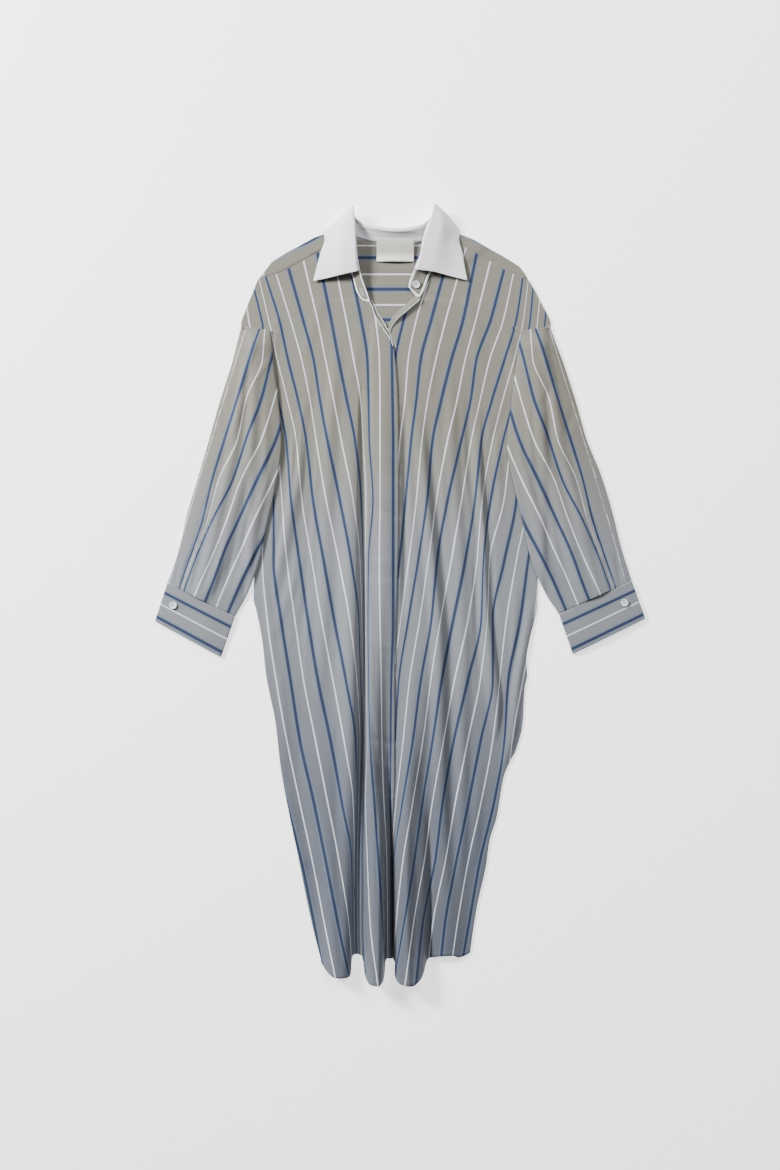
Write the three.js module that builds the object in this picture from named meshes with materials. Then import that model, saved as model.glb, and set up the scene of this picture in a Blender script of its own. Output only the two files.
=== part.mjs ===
import * as THREE from 'three';

// A long shirt dress laid flat with its front up, in millimetres.
// X runs to the viewer's right, Y to the neck and Z up from the surface that it lies on.
// The wearer's right is on the viewer's left, where X is negative.

const CLOTH = 1.2; // wall of the shirting
const SEAM_GAP = 0.3; // between pieces at a seam
const LAYER = CLOTH + SEAM_GAP; // from one layer's middle to the next one's
const PLACKET_GRAIN = 1.8; // width of the placket in stripes, which are 22 mm apart
const LAP_LIFT = 2.4; // the right front's rise where it laps over the left one
const LAP_RAMP = 9; // width over which it rises
const LAP_START = [440, 425]; // heights between which the lap begins, under the neck opening
const CUFF_THICKNESS = 5.6; // a cuff pressed flat
const CUFF_CLOTH = 1.8; // two layers and their interlining
const BUTTON_DIAMETER = 12;
const BUTTON_THICKNESS = 2.2;
const YOKE_HEM = 406; // lower edge of the back yoke
const ARMHOLE_TOP = 428; // where the sleeve is set on at the outer shoulder
const ARMHOLE_STEP = 423; // and where the front's edge has turned in under it
const CENTRE = { x: 4.3, y: -0.7 }; // middle of the whole outline in the tables' own frame

// Curves through tables

// A curve through [position, value] rows with no overshoot, and straight beyond its ends.
function curve(rows) {
  const sorted = [...rows].sort((a, b) => a[0] - b[0]);
  const at = sorted.map((row) => row[0]);
  const value = sorted.map((row) => row[1]);
  const last = at.length - 1;
  const secant = at.slice(1).map((x, i) => (value[i + 1] - value[i]) / (x - at[i]));
  const slope = at.map((_, i) => {
    if (i === 0) return secant[0];
    if (i === last) return secant[last - 1];
    const [before, after] = [secant[i - 1], secant[i]];
    return before * after <= 0 ? 0 : (2 * before * after) / (before + after);
  });
  return (x) => {
    if (x <= at[0]) return value[0] + slope[0] * (x - at[0]);
    if (x >= at[last]) return value[last] + slope[last] * (x - at[last]);
    let i = 0;
    while (x > at[i + 1]) i += 1;
    const span = at[i + 1] - at[i];
    const t = (x - at[i]) / span;
    const rise = value[i + 1] - value[i];
    const bend = t * (1 - t) * ((1 - t) * (slope[i] * span - rise) - t * (slope[i + 1] * span - rise));
    return value[i] + rise * t + bend;
  };
}

const mix = (a, b, t) => a + (b - a) * t;

function ramp(from, to, x) {
  const t = Math.min(1, Math.max(0, (x - from) / (to - from)));
  return t * t * (3 - 2 * t);
}

// Walls of cloth

// A net of quads: rows of [x, y, z] points. Nets that meet share the points where they do.
class Surface {
  constructor() {
    this.points = [];
    this.faces = [];
    this.index = new Map();
  }

  point(p) {
    const key = p.map((v) => Math.round(v * 1000)).join(' ');
    if (!this.index.has(key)) {
      this.index.set(key, this.points.length);
      this.points.push(new THREE.Vector3(...p));
    }
    return this.index.get(key);
  }

  net(rows) {
    const ids = rows.map((row) => row.map((p) => this.point(p)));
    for (let r = 0; r + 1 < ids.length; r += 1) {
      for (let c = 0; c + 1 < ids[r].length; c += 1) {
        const quad = [ids[r][c], ids[r][c + 1], ids[r + 1][c + 1], ids[r + 1][c]];
        this.face(quad[0], quad[1], quad[2]);
        this.face(quad[0], quad[2], quad[3]);
      }
    }
    return this;
  }

  face(a, b, c) {
    if (a !== b && b !== c && c !== a) this.faces.push([a, b, c]);
  }

  normals() {
    const sum = this.points.map(() => new THREE.Vector3());
    for (const [a, b, c] of this.faces) {
      const corner = [a, b, c].map((i) => this.points[i]);
      for (let k = 0; k < 3; k += 1) {
        const one = corner[(k + 1) % 3].clone().sub(corner[k]).normalize();
        const two = corner[(k + 2) % 3].clone().sub(corner[k]).normalize();
        const angle = one.angleTo(two);
        sum[[a, b, c][k]].add(one.cross(two).normalize().multiplyScalar(angle));
      }
    }
    return sum.map((v) => v.normalize());
  }

  // Thickens the net to a closed wall, from `below` under it to `above` over it along its normals.
  // Only the given faces are used, so that one net can carry a second layer on a part of it.
  wall(below, above, faces = this.faces) {
    const normal = this.normals();
    const move = (distance) => this.points.map((p, i) => p.clone().addScaledVector(normal[i], distance));
    const vertices = [...move(above), ...move(-below)];
    const n = this.points.length;
    const triangles = [];
    const edges = new Set(faces.flatMap(([a, b, c]) => [`${a} ${b}`, `${b} ${c}`, `${c} ${a}`]));
    for (const [a, b, c] of faces) {
      triangles.push([a, b, c], [n + a, n + c, n + b]);
      for (const [from, to] of [[a, b], [b, c], [c, a]]) {
        if (!edges.has(`${to} ${from}`)) triangles.push([from, n + from, n + to], [from, n + to, to]);
      }
    }
    return geometry(vertices, triangles);
  }
}

function geometry(vertices, triangles) {
  const shape = new THREE.BufferGeometry();
  shape.setAttribute('position', new THREE.Float32BufferAttribute(vertices.flatMap((v) => [v.x, v.y, v.z]), 3));
  shape.setIndex(triangles.flat());
  return shape.toNonIndexed();
}

// Fronts, in sections across the body. A row is one height, and its columns are the places of
// the grain lines 0, 2, 4 ... 14, counted in stripe pitches from the front edge to the side.
// Lines that lie close together go down into a fold.

const GRAIN_LINES = [0, 2, 4, 6, 8, 10, 12, 14];

const RIGHT_SECTIONS = [
  { y: 502, x: [-23, -71, -119, -169, -209, -233, -255, -278] },
  { y: 438, x: [-10, -58, -106, -151, -189, -217, -258, -281] },
  { y: 374, x: [-9, -48, -94, -134, -175, -204, -228, -250] },
  { y: 310, x: [-8, -46, -81, -124, -159, -191, -217, -239] },
  { y: 246, x: [-7, -45, -68, -112, -146, -178, -207, -230] },
  { y: 150, x: [-7, -39, -58, -92, -135, -170, -198, -226] },
  { y: 54, x: [-7, -42, -56, -74, -118, -157, -198, -233] },
  { y: -42, x: [-7, -40, -51, -62, -101, -143, -186, -230] },
  { y: -138, x: [-10, -39, -46, -58, -82, -127, -171, -215] },
  { y: -234, x: [-11, -34, -44, -57, -67, -107, -156, -199] },
  { y: -330, x: [-12, -26, -37, -56, -63, -89, -134, -178] },
  { y: -426, x: [-13, -20, -30, -58, -64, -73, -114, -154] },
  { y: -522, x: [-13, -18, -24, -57, -63, -70, -95, -134] },
  { y: -618, x: [-11, -15, -19, -50, -61, -66, -75, -116] },
];

const LEFT_SECTIONS = [
  { y: 502, x: [30, 71, 118, 166, 200, 218, 241, 263] },
  { y: 438, x: [10, 54, 105, 149, 190, 212, 236, 258] },
  { y: 374, x: [-4, 37, 86, 126, 171, 202, 228, 250] },
  { y: 310, x: [-10, 30, 70, 117, 151, 186, 214, 238] },
  { y: 246, x: [-18, 22, 56, 102, 134, 169, 196, 228] },
  { y: 150, x: [-22, 13, 47, 80, 124, 149, 190, 225] },
  { y: 54, x: [-26, 3, 33, 63, 108, 137, 171, 209] },
  { y: -42, x: [-34, -7, 17, 54, 89, 134, 152, 196] },
  { y: -138, x: [-41, -15, 2, 37, 70, 112, 152, 177] },
  { y: -234, x: [-44, -19, -4, 24, 56, 90, 133, 171] },
  { y: -330, x: [-31, -18, -10, 8, 40, 72, 114, 155] },
  { y: -426, x: [-25, -20, -14, -6, 26, 60, 94, 132] },
  { y: -522, x: [-24, -21, -17, -12, 10, 40, 76, 115] },
  { y: -618, x: [-23, -20, -17, -14, -6, 29, 66, 98] },
];

// Edges of the fronts as [y, x] rows, from the neck down.
const RIGHT_FRONT_EDGE = [
  [567, -84], [531, -81], [493, -68], [472, -57], [464, -43], [446, -36], [421, -21], [402, -9],
  [374, -4], [310, 0], [246, 1], [150, 1], [54, 0], [-138, -5], [-293, -5], [-338, -7], [-426, -10],
  [-625, -10],
];
const RIGHT_SIDE_EDGE = [
  [567, -150], [504, -222], [482, -231], [456, -242], [ARMHOLE_TOP, -250], [ARMHOLE_STEP, -227],
  [310, -226], [21, -229], [-8, -230], [-24, -226], [-76, -216], [-130, -210], [-206, -195],
  [-275, -187], [-357, -172], [-419, -159], [-485, -146], [-539, -134], [-582, -123], [-625, -114],
];
const LEFT_FRONT_EDGE = [
  [567, 82], [531, 77], [509, 56], [486, 42], [469, 34], [453, 14], [439, -3], [427, -13], [414, -26],
  [402, -36], [374, -38], [-138, -38], [-234, -28], [-330, -18], [-426, -16], [-522, -15], [-625, -14],
];
const LEFT_SIDE_EDGE = [
  [567, 150], [502, 209], [466, 229], [ARMHOLE_TOP, 245], [ARMHOLE_STEP, 227], [310, 227], [26, 224],
  [-19, 223], [-73, 211], [-104, 206], [-130, 207], [-150, 203], [-205, 200], [-250, 189], [-267, 180],
  [-291, 170], [-358, 158], [-394, 147], [-436, 141], [-494, 128], [-550, 119], [-625, 110],
];

// The forward shoulder seam on each side, as [x, y] rows from the neck out.
const RIGHT_SHOULDER_SEAM = [[-84, 567], [-124, 548], [-150, 533], [-171, 522], [-194, 511], [-216, 507]];
const LEFT_SHOULDER_SEAM = [[84, 567], [124, 546], [150, 531], [171, 519], [194, 508], [207, 503]];

// Hem of each front, as [grain line, y] rows.
const RIGHT_HEM = [
  [-1, -582], [2, -582], [3, -586], [4, -598], [4.5, -612], [5, -619], [5.6, -619], [6, -610],
  [6.5, -590], [7, -577], [9, -575], [11, -577], [11.5, -585], [12, -603], [12.6, -610], [13.2, -609],
  [13.7, -600], [14.2, -582],
];
const LEFT_HEM = [
  [-1, -583], [7, -584], [7.6, -588], [8, -605], [8.5, -616], [9, -621], [9.6, -622], [10, -619],
  [10.5, -608], [11, -583], [12, -577], [13, -579], [14, -577], [14.5, -568], [15, -552],
];

// Folds as ridges of cloth, each a table of [y, x, rise, half width] rows along its crest.
const RIDGES = [
  {
    name: 'body fullness',
    rows: [
      [470, 0, 2, 190], [300, 0, 6, 200], [0, 0, 8, 200], [-300, 0, 8, 160], [-640, -2, 7, 116],
    ],
  },
  {
    name: 'placket stand',
    rows: [
      [400, -22, 0, 20], [250, -22, 3, 22], [0, -23, 4, 24], [-160, -30, 4, 24], [-300, -34, 0, 22],
    ],
  },
  {
    name: 'right front centre fold',
    rows: [
      [60, -34, 0, 22], [-138, -40, 8, 24], [-234, -41, 14, 24], [-330, -38, 20, 23],
      [-426, -36, 26, 23], [-522, -36, 29, 22], [-640, -36, 30, 22],
    ],
  },
  {
    name: 'right front outer fold',
    rows: [
      [-200, -130, 0, 44], [-330, -118, 7, 44], [-450, -106, 14, 38], [-640, -94, 20, 27],
    ],
  },
  {
    name: 'right front hollow',
    rows: [
      [330, -57, 0, 9], [250, -56, -3, 9], [54, -56, -5, 10], [-138, -60, -4, 11], [-260, -61, -2, 11],
      [-330, -61, 0, 11],
    ],
  },
  {
    name: 'left front centre fold',
    rows: [
      [-60, 30, 0, 26], [-200, 24, 6, 28], [-330, 16, 14, 27], [-450, 14, 22, 25], [-640, 18, 27, 27],
    ],
  },
  {
    name: 'left front hollow',
    rows: [
      [320, 13, 0, 9], [250, 12, -3, 9], [54, 12, -4, 9], [-60, 8, 0, 9],
    ],
  },
  {
    name: 'left front long crease',
    rows: [
      [300, 28, 0, 16], [222, 38, 4, 17], [78, 52, 6, 18], [-66, 65, 6, 18], [-300, 68, 5, 18],
      [-420, 72, 3, 18], [-520, 78, 0, 18],
    ],
  },
  {
    name: 'left front side crease',
    rows: [
      [260, 126, 0, 16], [190, 129, 4, 18], [-26, 140, 6, 18], [-154, 154, 6, 18], [-260, 168, 0, 14],
    ],
  },
  { name: 'left front hem fullness', rows: [[-330, 90, 0, 40], [-480, 82, 5, 40], [-640, 74, 7, 36]] },
  {
    name: 'underarm crease',
    rows: [
      [270, -158, 0, 14], [198, -161, 5, 16], [90, -180, 5, 18], [-10, -200, 0, 14],
    ],
  },
];

const ridgeCurves = RIDGES.map(({ rows }) => {
  const column = (k) => curve(rows.map((row) => [row[0], row[k]]));
  const heights = rows.map((row) => row[0]);
  const [top, bottom] = [Math.max(...heights), Math.min(...heights)];
  return { x: column(1), rise: column(2), half: column(3), top, bottom };
});

// How far the top layer stands up at a place on the body.
function foldHeight(x, y) {
  let height = 0;
  for (const ridge of ridgeCurves) {
    if (y > ridge.top || y < ridge.bottom) continue;
    const off = (x - ridge.x(y)) / ridge.half(y);
    if (Math.abs(off) < 1) height += ridge.rise(y) * 0.5 * (1 + Math.cos(Math.PI * off));
  }
  return Math.max(0, height);
}

// The collar's back fall lies under the yoke, which rises over it.
const COLLAR_FALL_RISE = 1.8;
const COLLAR_FALL_RAMP = 15; // width over which what lies on it rises
const YOKE_MARGIN = 20; // from the fall's edge to where the yoke has risen
const FRONT_MARGIN = 38; // and where the fronts have
const collarFallEdge = (x) => 541 + 0.0028 * x * x;
const riseOver = (x, y, margin) => {
  const edge = collarFallEdge(x) - margin;
  return COLLAR_FALL_RISE * ramp(edge - COLLAR_FALL_RAMP, edge, y);
};
const yokeGround = (x, y) => riseOver(x, y, YOKE_MARGIN);
const frontGround = (x, y) => riseOver(x, y, FRONT_MARGIN);

function frontTables(sections, frontEdge, sideEdge, seam, hem) {
  const columns = GRAIN_LINES.map((_, k) => curve(sections.map((row) => [row.y, row.x[k]])));
  const place = (grain, y) => curve(GRAIN_LINES.map((line, k) => [line, columns[k](y)]))(grain);
  const sign = Math.sign(sections[0].x[7]);
  // The grain line at a place, found by halving.
  const grainAt = (x, y) => {
    let [low, high] = [-4, 19];
    for (let step = 0; step < 24; step += 1) {
      const middle = (low + high) / 2;
      if (sign * (place(middle, y) - x) < 0) low = middle;
      else high = middle;
    }
    return (low + high) / 2;
  };
  const edges = { edge: curve(frontEdge), side: curve(sideEdge), seam: curve(seam), hem: curve(hem) };
  return { place, grainAt, sign, ...edges };
}

const right = frontTables(
  RIGHT_SECTIONS, RIGHT_FRONT_EDGE, RIGHT_SIDE_EDGE, RIGHT_SHOULDER_SEAM, RIGHT_HEM,
);
const left = frontTables(LEFT_SECTIONS, LEFT_FRONT_EDGE, LEFT_SIDE_EDGE, LEFT_SHOULDER_SEAM, LEFT_HEM);

// Middle of the under (left) and of the over (right) front at a place.
const underFront = (x, y) => frontGround(x, y) + LAYER + CLOTH / 2 + foldHeight(x, y);
function overFront(x, y) {
  const lapEdge = left.edge(Math.min(y, 402));
  return underFront(x, y) + LAP_LIFT * ramp(lapEdge - LAP_RAMP, lapEdge - 1, x) * ramp(...LAP_START, y);
}

const PLACKET_COLUMNS = 4;
const FRONT_COLUMNS = 28;
const SHOULDER_ROWS = 5; // of points, above the armhole seam
const BODY_ROWS = 19; // and below it
const NARROWEST_PLACKET = 0.5; // in stripe pitches, at the neck

// A front as columns of points along the grain, from the front edge to the side.
function frontColumns(tables, level) {
  const grainIn = (y) => tables.grainAt(tables.edge(y), y);
  const grainSide = (y) => tables.grainAt(tables.side(y), y);
  const grainPlacket = (y) => Math.max(PLACKET_GRAIN, grainIn(y) + NARROWEST_PLACKET);
  const columns = [];
  for (let c = 0; c <= FRONT_COLUMNS; c += 1) {
    const outer = (c - PLACKET_COLUMNS) / (FRONT_COLUMNS - PLACKET_COLUMNS);
    const grain = (y) => (c <= PLACKET_COLUMNS
      ? mix(grainIn(y), grainPlacket(y), c / PLACKET_COLUMNS)
      : mix(grainPlacket(y), grainSide(y), outer));
    let top = 540;
    let bottom = -600;
    for (let pass = 0; pass < 8; pass += 1) {
      top = mix(top, tables.seam(tables.place(grain(top), top)) - SEAM_GAP, 0.8);
      bottom = mix(bottom, tables.hem(grain(bottom)), 0.7);
    }
    const column = [];
    const steps = (from, to, count) => Array.from({ length: count }, (_, i) => mix(from, to, i / count));
    const heights = [
      ...steps(top, ARMHOLE_TOP, SHOULDER_ROWS), ARMHOLE_TOP, ...steps(ARMHOLE_STEP, bottom, BODY_ROWS), bottom,
    ];
    for (const y of heights) {
      const x = tables.place(grain(y), y);
      column.push([x, y, level(x, y)]);
    }
    columns.push(column);
  }
  return columns;
}

const rightColumns = frontColumns(right, overFront);
const leftColumns = frontColumns(left, underFront);
const rightFront = new Surface().net([...rightColumns].reverse());
const leftFront = new Surface().net(leftColumns);

// The placket lies on the right front's edge, from its points moved out.
const PLACKET_TOP = 462;
function placketFaces() {
  const firstRow = rightColumns[0].findIndex((p) => p[1] < PLACKET_TOP);
  const strip = rightColumns.slice(0, PLACKET_COLUMNS + 1).flatMap((column) => column.slice(firstRow));
  const ids = new Set(strip.map((p) => rightFront.point(p)));
  return rightFront.faces.filter((face) => face.every((id) => ids.has(id)));
}

// Back panel: flat on the surface, from the yoke seam to a hem hidden behind the fronts' one.
const BACK_HEM = [[-130, -535], [-112, -556], [-90, -564], [0, -566], [90, -564], [108, -556], [125, -535]];
function backPanel() {
  const hem = curve(BACK_HEM);
  const columns = [];
  for (let c = 0; c <= 10; c += 1) {
    const across = c / 10;
    const column = [];
    for (let r = 0; r <= 14; r += 1) {
      const down = (y) => mix(right.side(y), left.side(y), across);
      const bottom = hem(down(-545));
      const y = mix(YOKE_HEM - SEAM_GAP, bottom, r / 14);
      column.push([down(y), y, CLOTH / 2]);
    }
    columns.push(column);
  }
  return new Surface().net(columns).wall(CLOTH / 2, CLOTH / 2);
}

// Yoke: flat across the back, then turned over the shoulders to the forward seams.
// Rows of outline x and y, and the x of the same column at the yoke's lower edge.
const YOKE_RIGHT_ARMHOLE = [[-249.5, 429, -226], [-242, 456, -218], [-231, 482, -210], [-219.5, 507, -202]];
const YOKE_RIGHT_SHOULDER = [
  [-213, 515, -194], [-201, 531, -182], [-180, 544, -164], [-156, 557, -144], [-134, 569, -124],
  [-119, 567, -108], [-101, 567, -94], [-83, 576, -80],
];
const YOKE_NECK = [
  [-78, 576, -74], [-65, 567, -62], [-44, 562, -42], [-22, 559, -21], [0, 558, 0], [22, 559, 21],
  [44, 562, 42], [65, 567, 62], [78, 576, 74],
];
const YOKE_LEFT_SHOULDER = [
  [83, 578, 80], [99, 567, 98], [120, 564, 118], [143, 554, 138], [170, 539, 160], [194, 524, 182],
  [204, 511, 194],
];
const YOKE_LEFT_ARMHOLE = [[209, 502, 202], [229, 466, 212], [244.5, 429, 226]];
const SHOULDER_TURN = [0.4, 0.6]; // how far out the shoulder's fold stands

function yoke() {
  const surface = new Surface();
  const low = (x, y) => [x, y, yokeGround(x, y) + CLOTH / 2];
  const outline = [
    ...YOKE_RIGHT_ARMHOLE, ...YOKE_RIGHT_SHOULDER, ...YOKE_NECK, ...YOKE_LEFT_SHOULDER, ...YOKE_LEFT_ARMHOLE,
  ];
  const steps = [0, 0.3, 0.52, 0.64, 0.73, 0.82, 0.91, 1];
  surface.net(outline.map(([x, y, foot]) => steps.map((t) => low(mix(foot, x, t), mix(YOKE_HEM, y, t)))));
  for (const [rows, seam] of [[YOKE_RIGHT_SHOULDER, right.seam], [YOKE_LEFT_SHOULDER, left.seam]]) {
    surface.net(rows.map(([x, y]) => {
      const [turnX, turnY] = SHOULDER_TURN;
      const turn = [x + Math.sign(x) * turnX, y + turnY, mix(yokeGround(x, y), frontGround(x, y), 0.5) + LAYER];
      const over = [0, 0.5, 1].map((t) => {
        const py = mix(y, seam(x) + SEAM_GAP, t);
        return [x, py, frontGround(x, py) + LAYER + CLOTH / 2];
      });
      return [low(x, y), turn, ...over];
    }));
  }
  return surface.wall(CLOTH / 2, CLOTH / 2);
}

// Collar stand: a band round the neck, in stations from the right front's end to the left one's.
// Its seam edge [x, y, z] and its top edge [x, y, z].
const STAND_STATIONS = [
  { seam: [-56, 469, 6.2], top: [-44, 466, 7] },
  { seam: [-65, 483, 6.2], top: [-49, 482, 9] },
  { seam: [-70, 502, 6.2], top: [-57, 504, 13] },
  { seam: [-76, 524, 6.4], top: [-63, 530, 17] },
  { seam: [-80, 548, 6.8], top: [-66, 560, 21] },
  { seam: [-82, 574, 7.2], top: [-68, 592, 22] },
  { seam: [-82, 592, 6.6], top: [-70, 602, 11.5] },
  { seam: [-77, 586, 5.2], top: [-62, 591, 10.5] },
  { seam: [-65, 572, 4.2], top: [-55, 584, 13] },
  { seam: [-44, 565, 4.0], top: [-36, 579.5, 16] },
  { seam: [-20, 562, 4.0], top: [-17, 576.5, 17] },
  { seam: [0, 561, 4.0], top: [0, 575.5, 17.5] },
  { seam: [20, 562, 4.0], top: [17, 576.5, 17] },
  { seam: [44, 565, 4.0], top: [33, 580, 16] },
  { seam: [65, 572, 4.2], top: [45, 587, 13] },
  { seam: [77, 586, 5.2], top: [52, 594, 10.5] },
  { seam: [82, 592, 6.6], top: [59, 603, 11.5] },
  { seam: [80, 572, 7.2], top: [50, 592, 22] },
  { seam: [74, 548, 6.8], top: [41, 566, 21] },
  { seam: [62, 526, 6.4], top: [36, 540, 17] },
  { seam: [50, 508, 6.2], top: [27, 518, 13] },
  { seam: [43, 488, 6.2], top: [19, 498, 9] },
  { seam: [34, 471, 6.2], top: [18, 490, 8] },
];

const STAND_BOW = 1.5; // of the band across its width
function collarStand() {
  const rows = STAND_STATIONS.map(({ seam, top }) => [0, 0.33, 0.67, 1].map((t) => {
    const bow = Math.sin(Math.PI * t) * STAND_BOW;
    return [mix(seam[0], top[0], t), mix(seam[1], top[1], t), mix(seam[2], top[2], t) - bow];
  }));
  return new Surface().net(rows).wall(CLOTH / 2, CLOTH / 2);
}

// Collar leaf: folded over the stand, in stations like the stand's.
// Each has its roll over the stand, a shoulder and a fall along its width, and its outer edge.
const LEAF_STATIONS = [
  { roll: [-67, 513, 19], shoulder: [-88, 509, 16], fall: [-112, 504, 10], edge: [-134, 500, 7] },
  { roll: [-67, 532, 23], shoulder: [-86, 530, 20], fall: [-108, 522, 12], edge: [-129, 520, 7] },
  { roll: [-68, 560, 27], shoulder: [-84, 558, 24], fall: [-103, 551, 14], edge: [-122, 546, 7] },
  { roll: [-70, 592, 28], shoulder: [-84, 586, 25], fall: [-100, 577, 14], edge: [-116, 566, 6.8] },
  { roll: [-71, 617, 25], shoulder: [-80, 612, 20], fall: [-98, 594, 11], edge: [-119, 579, 2.8] },
  { roll: [-70, 614, 18], shoulder: [-79, 609, 9], fall: [-92, 593, 1.6], edge: [-99, 566, 0.7] },
  { roll: [-68, 602, 15], shoulder: [-70, 601, 5], fall: [-76, 586, 0.8], edge: [-78, 556, 0.7] },
  { roll: [-57, 591, 15], shoulder: [-58, 592, 6], fall: [-58, 582, 0.8], edge: [-57, 548, 0.7] },
  { roll: [-36, 585, 18], shoulder: [-36, 587, 8], fall: [-35, 577, 0.8], edge: [-33, 543, 0.7] },
  { roll: [0, 581, 19.5], shoulder: [0, 584, 8.5], fall: [0, 575, 0.8], edge: [0, 541, 0.7] },
  { roll: [32, 586, 18], shoulder: [32, 588, 8], fall: [32, 577, 0.8], edge: [32, 543, 0.7] },
  { roll: [46, 594, 15], shoulder: [48, 595, 6], fall: [54, 583, 0.8], edge: [55, 548, 0.7] },
  { roll: [57, 606, 15], shoulder: [61, 605, 5], fall: [71, 588, 0.8], edge: [78, 556, 0.7] },
  { roll: [59, 618, 18], shoulder: [70, 612, 9], fall: [86, 593, 1.6], edge: [94, 562, 0.7] },
  { roll: [59, 620, 25], shoulder: [72, 610, 19], fall: [87, 597, 9], edge: [101, 579.5, 2.3] },
  { roll: [52, 592, 28], shoulder: [70, 586, 25], fall: [85, 577, 14], edge: [98, 566, 6.5] },
  { roll: [43, 564, 27], shoulder: [63, 558, 24], fall: [84, 551, 14], edge: [103, 546, 7] },
  { roll: [37, 540, 23], shoulder: [59, 533, 20], fall: [84, 525, 12], edge: [107, 522, 7] },
  { roll: [31, 516, 19], shoulder: [54, 514, 16], fall: [85, 507, 10], edge: [111, 501, 7] },
];

function collarLeaf() {
  const rows = LEAF_STATIONS.map(({ roll, shoulder, fall, edge }) => {
    const through = [0, 1, 2].map((k) => curve([[0, roll[k]], [1, shoulder[k]], [2, fall[k]], [3, edge[k]]]));
    return [0, 0.5, 1, 1.5, 2, 2.5, 3].map((t) => through.map((at) => at(t)));
  });
  return new Surface().net(rows).wall(CLOTH / 2, CLOTH / 2);
}

// Tubes pressed flat: sleeves and cuffs. A row is a section from the outer edge to the inner one.
const RIGHT_SLEEVE = [
  { outer: [-250, 427.4], inner: [-203, 421] }, { outer: [-258, 397], inner: [-200, 395] },
  { outer: [-263, 376], inner: [-198, 373] }, { outer: [-284, 309], inner: [-190, 309] },
  { outer: [-302, 246], inner: [-185, 240] }, { outer: [-320, 184], inner: [-195, 171] },
  { outer: [-338, 123], inner: [-208, 112] }, { outer: [-350, 70], inner: [-220, 56] },
  { outer: [-361, 38], inner: [-238, 4] }, { outer: [-368.1, 18.1], inner: [-259.8, -36.5] },
];
const LEFT_SLEEVE = [
  { outer: [244, 427.4], inner: [197, 420] }, { outer: [255, 397], inner: [193, 395] },
  { outer: [263, 376], inner: [190, 371] }, { outer: [285, 309], inner: [182, 307] },
  { outer: [303, 246], inner: [175, 238] }, { outer: [325, 192], inner: [184, 182] },
  { outer: [343, 134], inner: [198, 123] }, { outer: [358, 74], inner: [213, 56] },
  { outer: [368, 42], inner: [234, 5] }, { outer: [374.5, 21.5], inner: [257.8, -32] },
];
const RIGHT_CUFF = [{ outer: [-368.3, 17.6], inner: [-260, -37] }, { outer: [-388, -43], inner: [-282, -101] }];
const LEFT_CUFF = [{ outer: [374.7, 21], inner: [258, -32.5] }, { outer: [396.5, -39], inner: [280, -96] }];

const EDGE_HEIGHT = 2 * CLOTH + 1; // at a tube's two folded edges
const SLEEVE_PUFF = 9;

// Where a sleeve lies over the body's side, its under layer runs up on to the front.
const ONTO_FRONT = { start: -18, end: -4, height: 2 * LAYER + 0.6 };
function bodyInside(x, y) {
  return x < 0 ? x - right.side(y) : left.side(y) - x;
}
function support(x, y) {
  const { start, end, height } = ONTO_FRONT;
  return (height + 1.1 * foldHeight(x, y)) * ramp(start, end, bodyInside(x, y));
}

const UPPER_PLACES = [0, 0.04, 0.12, 0.22, 0.34, 0.46, 0.58, 0.7, 0.8, 0.9, 0.96, 1];

// Places of the under layer's points from the inner edge (1) to the outer edge (0).
function lowerPlaces(outer, inner) {
  const side = inner[0] < 0 ? right.side(inner[1]) : left.side(inner[1]);
  const out = Math.sign(inner[0]);
  const place = (inside) => (side - out * inside - outer[0]) / (inner[0] - outer[0]);
  const full = Math.min(0.94, Math.max(0.4, place(ONTO_FRONT.end)));
  const clear = Math.min(0.88, Math.max(0.3, place(ONTO_FRONT.start)));
  const middle = (full + clear) / 2;
  return [1, mix(1, full, 0.35), mix(1, full, 0.7), full, middle, clear, clear * 0.66, clear * 0.33, 0];
}

function tube({ rows, count, top, cloth, lift }) {
  const key = ['outer', 'inner'].map((end) => [0, 1].map((k) => curve(rows.map((row, i) => [i, row[end][k]]))));
  const [outside, inside] = [[], []];
  for (let r = 0; r <= count; r += 1) {
    const at = (r / count) * (rows.length - 1);
    const [outer, inner] = key.map((pair) => pair.map((c) => c(at)));
    const inset = cloth / Math.hypot(inner[0] - outer[0], inner[1] - outer[1]);
    const lower = lowerPlaces(outer, inner);
    for (const [list, shrink] of [[outside, 0], [inside, 1]]) {
      const ring = (w, high) => {
        const within = mix(inset * shrink, 1 - inset * shrink, w);
        const [x, y] = [mix(outer[0], inner[0], within), mix(outer[1], inner[1], within)];
        const z = high ? top(w, r / count) - cloth * shrink : cloth * shrink;
        return new THREE.Vector3(x, y, lift(x, y) + z);
      };
      list.push([...UPPER_PLACES.map((w) => ring(w, true)), ...lower.map((w) => ring(w, false))]);
    }
  }
  return closedTube(outside, inside);
}

function closedTube(outside, inside) {
  const ring = outside[0].length;
  const rows = outside.length;
  const vertices = [...outside.flat(), ...inside.flat()];
  const id = (skin, r, k) => skin * rows * ring + r * ring + (k % ring);
  const triangles = [];
  const quad = (a, b, c, d) => triangles.push([a, b, c], [a, c, d]);
  for (let k = 0; k < ring; k += 1) {
    for (let r = 0; r + 1 < rows; r += 1) {
      quad(id(0, r, k), id(0, r + 1, k), id(0, r + 1, k + 1), id(0, r, k + 1));
      quad(id(1, r, k), id(1, r, k + 1), id(1, r + 1, k + 1), id(1, r + 1, k));
    }
    quad(id(0, 0, k), id(0, 0, k + 1), id(1, 0, k + 1), id(1, 0, k));
    const end = rows - 1;
    quad(id(0, end, k), id(1, end, k), id(1, end, k + 1), id(0, end, k + 1));
  }
  // Faces point out where the rings run clockwise seen along the tube, and are turned where not.
  const shape = geometry(vertices, triangles);
  return volume(shape) > 0 ? shape : geometry(vertices, triangles.map(([a, b, c]) => [a, c, b]));
}

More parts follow.
